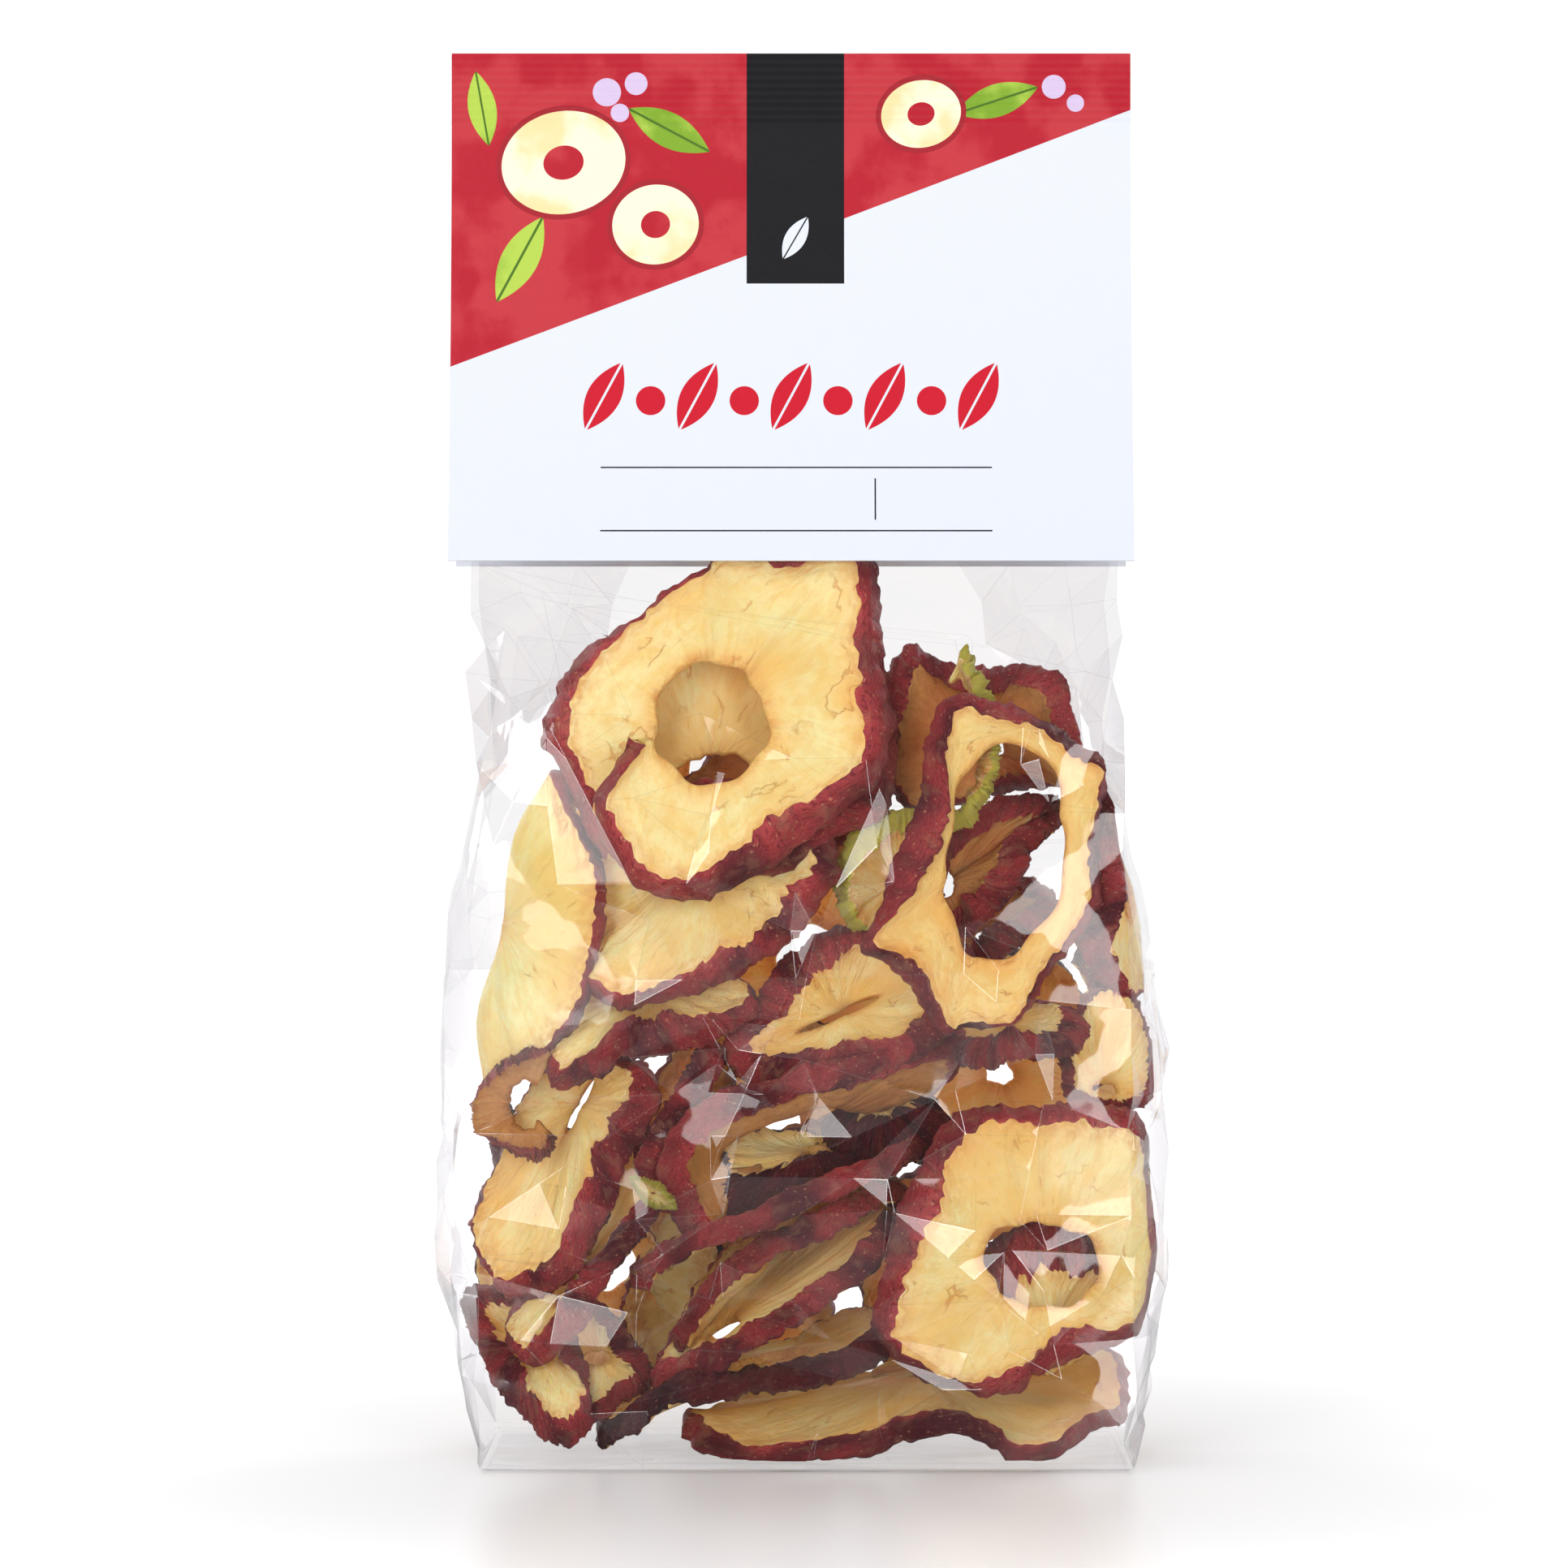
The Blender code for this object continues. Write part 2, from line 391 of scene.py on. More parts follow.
def skin_material(name, bright, deep_and_valley_shade, pore_and_crest_highlight):
    """Dried skin in three colours: its bright patches, its darker patches, which also paint shade into the
    wrinkles' valleys, and its paler pores and freckles, which also paint a highlight on the wrinkles'
    crests.
    """
    made, tree, shader = new_material(name)
    place = kept_by_slice(tree, "slice_place")
    broad = mottled(tree, place, fineness=90.0, detail=5.0, low=0.40, high=0.66)
    freckles = mottled(tree, place, fineness=360.0, detail=6.0, low=0.50, high=0.70)
    ridges = use_group(tree, wrinkles, Rim_place=kept_by_slice(tree, "rim_place"), Count=30.0)["Height"]
    pores = node(tree, "ShaderNodeTexVoronoi", {"Vector": place, "Scale": 820.0}).outputs["Distance"]
    tint = layered(tree, bright, [
        (broad, deep_and_valley_shade),
        # Painted shade: the wrinkles' valleys are darkened towards the darker colour.
        (rescale(tree, ridges, 0.50, 0.32, to_high=0.7), deep_and_valley_shade),
        # Painted highlight: the wrinkles' crests are lightened towards the pale colour.
        (rescale(tree, ridges, 0.54, 0.72, to_high=0.22), pore_and_crest_highlight),
        (rescale(tree, pores, 0.22, 0.10, to_high=0.7), pore_and_crest_highlight),
        (times(tree, freckles, 0.30), pore_and_crest_highlight),
    ])
    relief = calculate(tree, "MULTIPLY_ADD", ridges, 5.0, noise(tree, place, scale=1300.0, detail=3.0))
    roughness = rescale(tree, broad, 0.0, 1.0, to_low=0.34, to_high=0.52)
    finish_slice(tree, shader, tint, roughness, relief, 0.85, SKIN_LETS_IN)
    return made


# The red and the green skins are the apple's own colours. The third is a darker copy of the red, painted
# shade for slices that lie far into the bag.
SKIN_COLOURS = {
    "red": opaque((0.53, 0.062, 0.066), (0.13, 0.009, 0.020), (0.68, 0.30, 0.17)),
    "painted_shade": opaque((0.17, 0.020, 0.026), (0.050, 0.006, 0.012), (0.32, 0.13, 0.09)),
    "green": opaque((0.95, 0.83, 0.14), (0.84, 0.70, 0.09), (0.96, 0.86, 0.36)),
}
SKINS = {kind: skin_material(f"{kind}_skin", *colours) for kind, colours in SKIN_COLOURS.items()}
print("slice materials", [made.name for made in (*FLESH.values(), *SKINS.values())])

# %% [markdown]
# One slice
#
# A real slice is cut across the apple and cored, then dried: its flesh shrinks to a thin leathery sheet, and
# its wall of skin stays round it as a strap. By hand it is a turned shape, so its cross-section is laid out
# once from a circle of points and spun about the core, nearly all the way round. For a whole slice the last
# ring of points is bridged to the first. For one that tore open as it dried, both ends are capped instead.
# These two flat slices are made once, and every slice in the bag starts as a copy of one of them.

# %% The flat slices
RINGS = 200
FLESH_POINTS = 9
SKIN_POINTS = 7
RADIUS = 26.0
CORE = 8.0
BAND = 4.5
CORE_EDGE = 0.7
BACK_LIP = 0.8
HALF_AT_CORE = 1.0
HALF_IN_FLESH = 0.75
HALF_AT_RIM = 2.3
THINNEST_AT = 0.35


def eased(share):
    """A smooth step from 0 to 1."""
    share = min(max(share, 0.0), 1.0)
    return share * share * (3.0 - 2.0 * share)


def half_thickness(share):
    """Half the slice's thickness in mm, from its core (0) to its rim (1): it sinks in between."""
    if share < THINNEST_AT:
        return HALF_AT_CORE + (HALF_IN_FLESH - HALF_AT_CORE) * eased(share / THINNEST_AT)
    return HALF_IN_FLESH + (HALF_AT_RIM - HALF_IN_FLESH) * ((share - THINNEST_AT) / (1.0 - THINNEST_AT)) ** 3


def cross_section():
    """The slice's cross-section in mm, as (distance from the core's axis, height towards the front)."""
    inner = CORE + CORE_EDGE
    cut = RADIUS - BAND
    points = []
    for step in range(FLESH_POINTS):
        share = step / (FLESH_POINTS - 1)
        points.append((inner + (cut - inner) * share, half_thickness(share)))
    for step in range(1, SKIN_POINTS + 1):
        turn = math.pi * 0.5 * step / (SKIN_POINTS + 1)
        points.append((cut + BAND * math.sin(turn), HALF_AT_RIM * (2.0 * math.cos(turn) - 1.0)))
    for step in range(FLESH_POINTS):
        share = 1.0 - step / (FLESH_POINTS - 1)
        points.append((inner + (RADIUS - BACK_LIP - inner) * share, -half_thickness(share)))
    for turn in (-45.0, 0.0, 45.0):
        angle = math.radians(turn)
        points.append((inner - CORE_EDGE * math.cos(angle), HALF_AT_CORE * math.sin(angle)))
    return np.array(points)


SECTION = cross_section()
FIRST_OF_SKIN = FLESH_POINTS - 1
LAST_OF_SKIN = FLESH_POINTS + SKIN_POINTS


def spin_flat_slice(name, torn):
    """Lays the cross-section out on a circle's points, spins it, and bridges or caps the two ends."""
    start_clean()
    bpy.ops.mesh.primitive_circle_add(vertices=len(SECTION), radius=BAND * MM)
    made = bpy.context.object
    made.name = name
    for vertex, (out, height) in zip(made.data.vertices, SECTION):
        vertex.co = (out * MM, -height * MM, 0.0)
    bpy.ops.object.mode_set(mode="EDIT")
    bpy.ops.mesh.select_all(action="SELECT")
    bpy.ops.mesh.spin(
        steps=RINGS - 1, angle=math.tau * (RINGS - 1) / RINGS, center=(0.0, 0.0, 0.0), axis=(0.0, 1.0, 0.0)
    )
    bpy.ops.mesh.select_mode(type="EDGE")
    bpy.ops.mesh.select_all(action="DESELECT")
    bpy.ops.object.mode_set(mode="OBJECT")
    for edge in made.data.edges:
        first, second = (index // len(SECTION) for index in edge.vertices)
        edge.select = first == second and first in (0, RINGS - 1)
    bpy.ops.object.mode_set(mode="EDIT")
    if torn:
        bpy.ops.mesh.edge_face_add()
    else:
        bpy.ops.mesh.bridge_edge_loops()
    bpy.ops.mesh.select_all(action="SELECT")
    bpy.ops.mesh.normals_make_consistent(inside=False)
    bpy.ops.object.mode_set(mode="OBJECT")
    bpy.ops.object.shade_smooth()
    return made


FLAT = {torn: spin_flat_slice(f"flat_slice_{torn}", torn) for torn in (False, True)}
flat_size = [round(side / MM, 1) for side in FLAT[False].dimensions]
print("a flat slice has", len(FLAT[False].data.vertices), "points and measures", flat_size, "mm")

# %% [markdown]
# What the slice remembers
#
# Once a slice curls, its points no longer say where they were on the apple. So before any shaping, each
# point's place on the flat slice, its share of the way from core to skin and its place round the rim are
# stored, shifted by the slice's own number so that no two slices show the same marks. The skin's faces get
# the skin's material here too. They are told by their place in the cross-section, because the spin keeps the
# order of its points, ring after ring.

# %% Store the flat slice's places
MARKS_SHIFT = np.array([0.31, 0.17, 0.23])
RIM_SHIFT = 7.0
RIM_DEPTH = 4.0 * MM
SKIN_MOVES_FROM = 1.5
SKIN_MOVES_OVER = 2.0


def remember(piece, number, flesh, skin):
    """Stores the flat places as attributes, and gives the slice its materials and its vertex groups."""
    mesh = piece.data
    place = np.empty(len(mesh.vertices) * 3)
    mesh.vertices.foreach_get("co", place)
    place = place.reshape(-1, 3)
    out = np.hypot(place[:, 0], place[:, 2])
    around = np.stack([place[:, 0] / out, place[:, 2] / out, place[:, 1] / RIM_DEPTH], axis=1)
    shift = MARKS_SHIFT * number
    kept = {
        "slice_place": ("FLOAT_VECTOR", "vector", place + shift),
        "rim_place": ("FLOAT_VECTOR", "vector", around + RIM_SHIFT * shift),
        "across": ("FLOAT", "value", np.clip((out / MM - CORE) / (RADIUS - BAND - CORE), 0.0, 1.0)),
    }
    for title, (kind, field, values) in kept.items():
        mesh.attributes.new(title, kind, "POINT").data.foreach_set(field, values.astype(np.float32).ravel())
    mesh.materials.append(flesh)
    mesh.materials.append(skin)
    for face in mesh.polygons:
        spots = [index % len(SECTION) for index in face.vertices]
        face.material_index = 1 if min(spots) >= FIRST_OF_SKIN and max(spots) <= LAST_OF_SKIN else 0
    rim = piece.vertex_groups.new(name="rim")
    skin_only = piece.vertex_groups.new(name="skin")
    for spot, (reach, _) in enumerate(SECTION):
        along = list(range(spot, len(mesh.vertices), len(SECTION)))
        rim.add(along, eased((reach - CORE) / (RADIUS - CORE)), "REPLACE")
        past_cut = reach - (RADIUS - BAND - SKIN_MOVES_FROM)
        skin_only.add(along, eased(past_cut / SKIN_MOVES_OVER), "REPLACE")


# %% [markdown]
# Laying a slice to its dried outline
#
# Drying pulls each slice into a shape of its own, angular and folded, and the shapes are what one sees. So
# a slice is laid between two outlines: its rim, through a few listed places, and its core, an oval.
# Each place of the rim also says how wide the skin shows there. A ring of the flat slice's points is set
# along every line from core to rim, with its thickness along the normal there. Sums of waves that start at
# random make the core and the cut uneven, give the rim small teeth and pucker the skin. The places are given
# as they are seen from the camera, in mm at the bag's middle plane, with their depth, because that is how
# they were compared.

# %% Lay between core and rim
CAMERA_DISTANCE = -CAMERA_PLACE[1]
CORE_FOLLOWS = 0.35
SMOOTHED_OVER = 4
STEPS_TO_MEASURE = 40
NARROWEST_SKIN = 0.15
WIDEST_SKIN = 0.8
TEETH_FULL_FROM = 3.0

# Each unevenness: its strength, what is added to the slice's number for its seed, and its waves.
CUT_UNEVEN = (0.16, 0, (3, 5, 8, 13))
CUT_TEETH = (0.30, 100, (29, 37, 47, 59))
RIM_UNEVEN = (0.25, 200, (7, 11, 17, 23))
RIM_TEETH = (0.22, 500, (31, 43, 61, 73))
PUCKER = (0.20, 400, (41, 53, 67, 79))
CORE_UNEVEN = (0.06, 300, (2, 3, 5, 9))


def as_seen(across, up, depth):
    """The real place of what is seen at a place of the bag's middle plane, but is nearer or deeper."""
    nearer = 1.0 + depth * MM / CAMERA_DISTANCE
    x = CAMERA_PLACE[0] + (across * MM - CAMERA_PLACE[0]) * nearer
    z = CAMERA_PLACE[2] + (up * MM - CAMERA_PLACE[2]) * nearer
    return np.array([x, depth * MM, z]) / MM


def smooth_run(rows, count, torn):
    """Rows at even lengths along a smooth curve through rows whose first three values are a place."""
    rows = np.array(rows, float)
    last = len(rows) - 1 if torn else len(rows)
    fine = np.linspace(0.0, last, STEPS_TO_MEASURE * last, endpoint=torn)
    start = np.floor(fine).astype(int)
    start = np.minimum(start, last - 1)
    share = (fine - start)[:, None]
    around = [start - 1, start, start + 1, start + 2]
    around = [np.clip(spot, 0, len(rows) - 1) if torn else spot % len(rows) for spot in around]
    before, here, after, later = (rows[spot] for spot in around)
    curve = 0.5 * (
        2.0 * here + (after - before) * share + (2.0 * before - 5.0 * here + 4.0 * after - later) * share**2
        + (3.0 * here - before - 3.0 * after + later) * share**3
    )
    if not torn:
        curve = np.vstack([curve, curve[:1]])
    steps = np.linalg.norm(np.diff(curve[:, :3], axis=0), axis=1)
    length = np.concatenate([[0.0], np.cumsum(steps)])
    wanted = np.linspace(0.0, length[-1], count, endpoint=torn)
    return np.stack([np.interp(wanted, length, column) for column in curve.T], axis=1)


def wander(number, unevenness):
    """An uneven run of values round a slice that ends as it began."""
    strength, more, waves = unevenness
    dice = np.random.default_rng(number + more)
    turn = np.arange(RINGS) * math.tau / RINGS
    run = sum(np.sin(wave * turn + dice.uniform(0.0, math.tau)) for wave in waves)
    return strength * (run / math.sqrt(len(waves)))


def unit(vectors):
    """Each row of vectors at length 1."""
    return vectors / np.maximum(np.linalg.norm(vectors, axis=1), 1e-9)[:, None]


def lay_between(piece, number, rim, core, band, dome, thick, torn):
    """Sets the flat slice's rings of points along the lines from its dried core to its dried rim."""
    tangent = np.gradient(rim, axis=0) if torn else np.roll(rim, -1, axis=0) - np.roll(rim, 1, axis=0)
    inward = unit(core - rim)
    normal = unit(np.cross(unit(tangent), inward))
    reach = range(-SMOOTHED_OVER, SMOOTHED_OVER + 1)
    rings = np.arange(RINGS)
    near = [np.clip(rings + step, 0, RINGS - 1) if torn else (rings + step) % RINGS for step in reach]
    normal = unit(sum(normal[spots] for spots in near))
    span = np.linalg.norm(core - rim, axis=1)
    band = band * (1.0 + wander(number, CUT_UNEVEN))
    band = band + wander(number, CUT_TEETH) * np.minimum(band / TEETH_FULL_FROM, 1.0)
    band = np.clip(band, NARROWEST_SKIN, WIDEST_SKIN * span)[:, None]
    rim = rim + normal * wander(number, RIM_UNEVEN)[:, None]
    rim = rim + inward * wander(number, RIM_TEETH)[:, None]
    pucker = normal * wander(number, PUCKER)[:, None]
    cut = rim + inward * band
    inner = CORE + CORE_EDGE
    flat_cut = RADIUS - BAND
    laid = np.empty((RINGS, len(SECTION), 3))
    for spot, (out, height) in enumerate(SECTION):
        if out < inner:
            place = core + inward * (inner - out) * thick
        elif out <= flat_cut:
            share = (out - inner) / (flat_cut - inner)
            place = core + (cut - core) * share + normal * dome * math.sin(math.pi * share)
        else:
            place = cut + (rim - cut) * (out - flat_cut) / BAND + pucker * thick
        laid[:, spot] = place + normal * height * thick
    piece.data.vertices.foreach_set("co", (laid.reshape(-1) * MM).astype(np.float32))
    piece.data.update()


def outlines(number, rim, hole, torn):
    """The rim, core and band at every ring, from the rim's rows and the hole's oval."""
    run = smooth_run(rim, RINGS, torn)
    across, up, half_width, half_height, slope, depth = hole
    angle = math.radians(slope)
    away = run[:, :2] - (across, up)
    along = away @ (math.cos(angle), math.sin(angle))
    aside = away @ (-math.sin(angle), math.cos(angle))
    size = 1.0 / np.maximum(np.hypot(along / half_width, aside / half_height), 1e-6)
    size *= 1.0 + wander(number, CORE_UNEVEN)
    core = np.empty((RINGS, 3))
    core[:, :2] = (across, up) + away * size[:, None]
    core[:, 2] = depth + CORE_FOLLOWS * (run[:, 2] - run[:, 2].mean())
    real_rim = np.array([as_seen(*row) for row in run[:, :3]])
    real_core = np.array([as_seen(*row) for row in core])
    return real_rim, real_core, run[:, 3]


# %% [markdown]
# Waves and wrinkles
#
# Drying also sends small waves through the flesh and gathers the skin into fine wrinkles, because the flesh
# shrinks more than the skin. Those are two sizes of the same thing, so two Displace modifiers do it, each
# pushing by a cloud texture of its own size. The coarser one fades out towards the core, and the finer one
# acts on the skin alone.

# %% Shrivel
WAVE_SIZE = 11.0
WAVE_PUSH = 3.2
WRINKLE_SIZE = 2.6
WRINKLE_PUSH = 1.5
CLOUD_SHIFT = Vector((0.37, 0.11, 0.23))


def displace(piece, number, size, push, group):
    """Pushes the points all three ways by a colour cloud of this size in mm, by a part of push."""
    cloud = bpy.data.textures.new(f"{piece.name}_{size}", "CLOUDS")
    cloud.cloud_type = "COLOR"
    cloud.noise_scale = size * MM
    cloud.noise_depth = 1
    spot = bpy.data.objects.new(f"{piece.name}_spot", None)
    spot.location = CLOUD_SHIFT * number
    bpy.context.scene.collection.objects.link(spot)
    bpy.context.view_layer.update()
    push_by_cloud = piece.modifiers.new("cloud", "DISPLACE")
    push_by_cloud.texture = cloud
    push_by_cloud.texture_coords = "OBJECT"
    push_by_cloud.texture_coords_object = spot
    push_by_cloud.direction = "RGB_TO_XYZ"
    push_by_cloud.mid_level = 0.5
    push_by_cloud.strength = push * MM
    push_by_cloud.vertex_group = group
    pick(piece)
    bpy.ops.object.modifier_apply(modifier="cloud")
    bpy.data.objects.remove(spot)
    bpy.data.textures.remove(cloud)


# %% [markdown]
# The slices that show from the front
#
# Each slice has its rim's places in order round it: across, up, depth and how wide the skin shows, all in
# mm. Its hole is an oval: across, up, half width, half height, slope and depth. A torn slice's rows run from
# one end of the tear to the other, so its flap can lie over its other end.

# %% Slices by the front panel
# A tone other than cream, and the darker skin kind, are painted shade for a slice that lies in shade.
FRONT_SLICES = {
    "top": dict(torn=True, hole=(-17.3, 134.2, 10.8, 12.4, 0, -20.5), rim=[
        (-31, 130.9, -25.5, 0.4), (-38.1, 119.6, -26, 2.2), (-36.5, 112.9, -26.5, 3.6),
        (-30.8, 104.3, -27, 4), (-22.5, 101.3, -27, 3.5), (-15, 103.4, -27, 4.5), (-4.4, 109.4, -26.5, 5.5),
        (3.8, 114.8, -25.5, 5.5), (12.8, 122.6, -23, 5.5), (17.1, 132.5, -20, 5.5), (16.1, 140.6, -18, 6.5),
        (15.5, 149.6, -15, 6), (14, 160.9, -10.5, 4.5), (10.5, 166.7, -7.5, 3), (-0.8, 164.3, -9, 1.8),
        (-13.5, 166.1, -7.5, 2), (-21, 161.3, -10, 2.5), (-31.7, 154.4, -12, 2.8), (-40.2, 148.6, -12, 4.5),
        (-46.5, 139.1, -12, 5), (-49.1, 131.5, -12, 5), (-45, 124.4, -14, 5), (-40.2, 113.8, -17, 4.5),
        (-36.8, 108.4, -18, 3)]),
    "top_third": dict(hole=(0, 122, 5, 4, 0, -1), tone="brown_painted_shade", rim=[
        (12, 118, -5, 4), (10, 133, -2, 3), (-3, 139, 0, 2), (-14.5, 131, -2, 0.3), (-18.5, 126, -2, 0.3),
        (-24, 121, -2, 0.3), (-19, 111, -4, 3), (-4, 107, -6, 4)]),
    "top_second": dict(hole=(-17.3, 125, 7.8, 4, 14, -13), rim=[
        (17.4, 132.4, -13, 4), (14.3, 148.1, -9, 3), (1.5, 156.4, -6, 3), (-16.5, 157.1, -5, 3),
        (-33, 148.1, -6, 3), (-41.3, 133.1, -9, 3), (-38.3, 118.1, -15, 3), (-21, 109.1, -20, 3.5),
        (-6, 106.9, -21.5, 4), (3.8, 111.1, -21, 5.5), (14.3, 118.1, -18, 6)]),
    "under_top": dict(hole=(-16.5, 111.4, 7, 6, 0, -17), rim=[
        (7.5, 108.8, -20, 5), (3, 118.1, -18, 3), (-13.5, 124.1, -17, 3), (-31.5, 120.4, -15, 3),
        (-41.3, 107.6, -12, 3), (-42.8, 94.1, -12, 3), (-38.6, 84.2, -20, 2.5), (-28.5, 82.4, -22.5, 3),
        (-15, 86.3, -24, 4.5), (-6, 91.1, -24, 5), (2, 98.6, -23, 5.5)]),
    "lap": dict(hole=(-28.5, 85.9, 5, 1.5, 0, -12), rim=[
        (-8.3, 82.9, -20, 2), (-16.5, 89.6, -10, 2), (-28.5, 90.4, -8, 2), (-38.3, 84.8, -12, 1.5),
        (-45, 77.6, -17, 2), (-48.3, 71.3, -21, 2.5), (-45, 67.4, -23, 3.5), (-39, 69.2, -24, 4.5),
        (-34.5, 72.7, -24, 6), (-27.9, 72.7, -24.5, 6.5), (-21, 75.8, -24, 5), (-14.4, 78.4, -23, 3)]),
    "left_roll": dict(hole=(-56, 97, 0.7, 23, -10, -7), dome=3, thick=0.55, rim=[
        (-36.8, 100.1, -19, 1.2), (-37.7, 108.5, -18, 1.2), (-41.5, 116.6, -17, 1), (-45, 125.4, -14, 1),
        (-43, 121, 0, 1), (-44.5, 106, 4, 1), (-47, 91, 5, 1), (-51, 77, 3, 1), (-57, 68, -6, 1),
        (-57, 66.5, -15, 1), (-50.3, 69.4, -20, 1.5), (-45.8, 74.6, -21, 1.5), (-41.6, 80.2, -21, 1.5),
        (-38.7, 88.1, -20, 1.2)]),
    "left_hook": dict(torn=True, hole=(-51.1, 64, 3.8, 5, 0, -20), tone="brown_painted_shade", thick=0.9, rim=[
        (-45.8, 75, -21, 0.6), (-52.4, 73.6, -22, 0.6), (-58.4, 69.9, -20, 0.6), (-60.9, 64.3, -17, 0.6),
        (-60.5, 59.4, -17, 0.8), (-56.4, 56.6, -19, 1), (-52.4, 54.6, -22, 1), (-48.3, 54, -23, 0.8),
        (-46.4, 57.4, -23, 0.6)]),
    "centre": dict(hole=(7, 80.5, 9, 1.2, 24, -12), rim=[
        (26.3, 88.1, -16, 3), (19.5, 97.1, -12, 4), (12, 98.6, -12, 4.5), (3, 95.6, -14, 5),
        (-5.3, 88.1, -17, 5.5), (-11.3, 79.9, -19, 5.5), (-14.6, 73.1, -20, 5), (-6, 68.3, -22, 4.5),
        (9, 70.4, -24, 4.8), (24, 75.4, -23, 4.5)]),
    "right_lower": dict(hole=(44.1, 34.3, 11.2, 8.6, -12, -25.5), rim=[
        (67.5, 36.7, -14, 4), (67, 43.7, -16, 3), (65.7, 52.1, -18, 2.5), (66.1, 56.3, -18, 2.5),
        (63.3, 61.1, -19, 3.5), (59.1, 63.5, -21, 4), (49.8, 64.4, -24, 3.5), (35.7, 64, -26.5, 3.5),
        (29.1, 62.5, -27.5, 3.5), (22.5, 55.9, -28.5, 4.5), (17.9, 46.1, -29, 5), (14.7, 35.6, -29, 5),
        (12.8, 21.8, -28.5, 3.5), (17.4, 17, -28.5, 2.5), (24, 11.9, -28.5, 2.5), (31.5, 10.4, -28.5, 3),
        (39.5, 11, -28.5, 4), (47.9, 15.2, -28.5, 4.5), (55.8, 18.5, -27.5, 4.5), (59.3, 19.9, -26, 3),
        (65.3, 26.6, -18, 2)]),
    "right_lower_behind": dict(hole=(45, 20.6, 3, 2, 0, -20), rim=[
        (56, 28.1, -13, 3), (54, 38.6, -14, 6), (45, 42.4, -19, 10), (33.8, 38.6, -20, 9),
        (28.5, 28.1, -18, 4), (34.5, 18.1, -16, 2), (48, 17.5, -13, 2)]),
    "floor": dict(hole=(21, 14, 8, 1.2, 0, 2), thick=0.8, rim=[
        (59.4, 7.1, -14, 1.5), (58.8, 17.6, -2, 2), (46.5, 19.1, 8, 2), (24, 16.1, 14, 2),
        (1.5, 10.9, 10, 2), (-18, 6.4, 0, 2), (-23.3, 4.6, -14, 3), (-16.5, -0.4, -24, 3.5),
        (-4.5, -2, -29, 3.8), (10.5, 0.4, -29, 3.8), (18, 3.1, -29, 4), (28.5, 4.6, -29, 4),
        (36, 1.9, -29, 3.5), (40.1, -1.3, -29, 1.5), (46.1, -0.4, -28, 1.2), (54.9, 4.9, -22, 1.2)]),
}
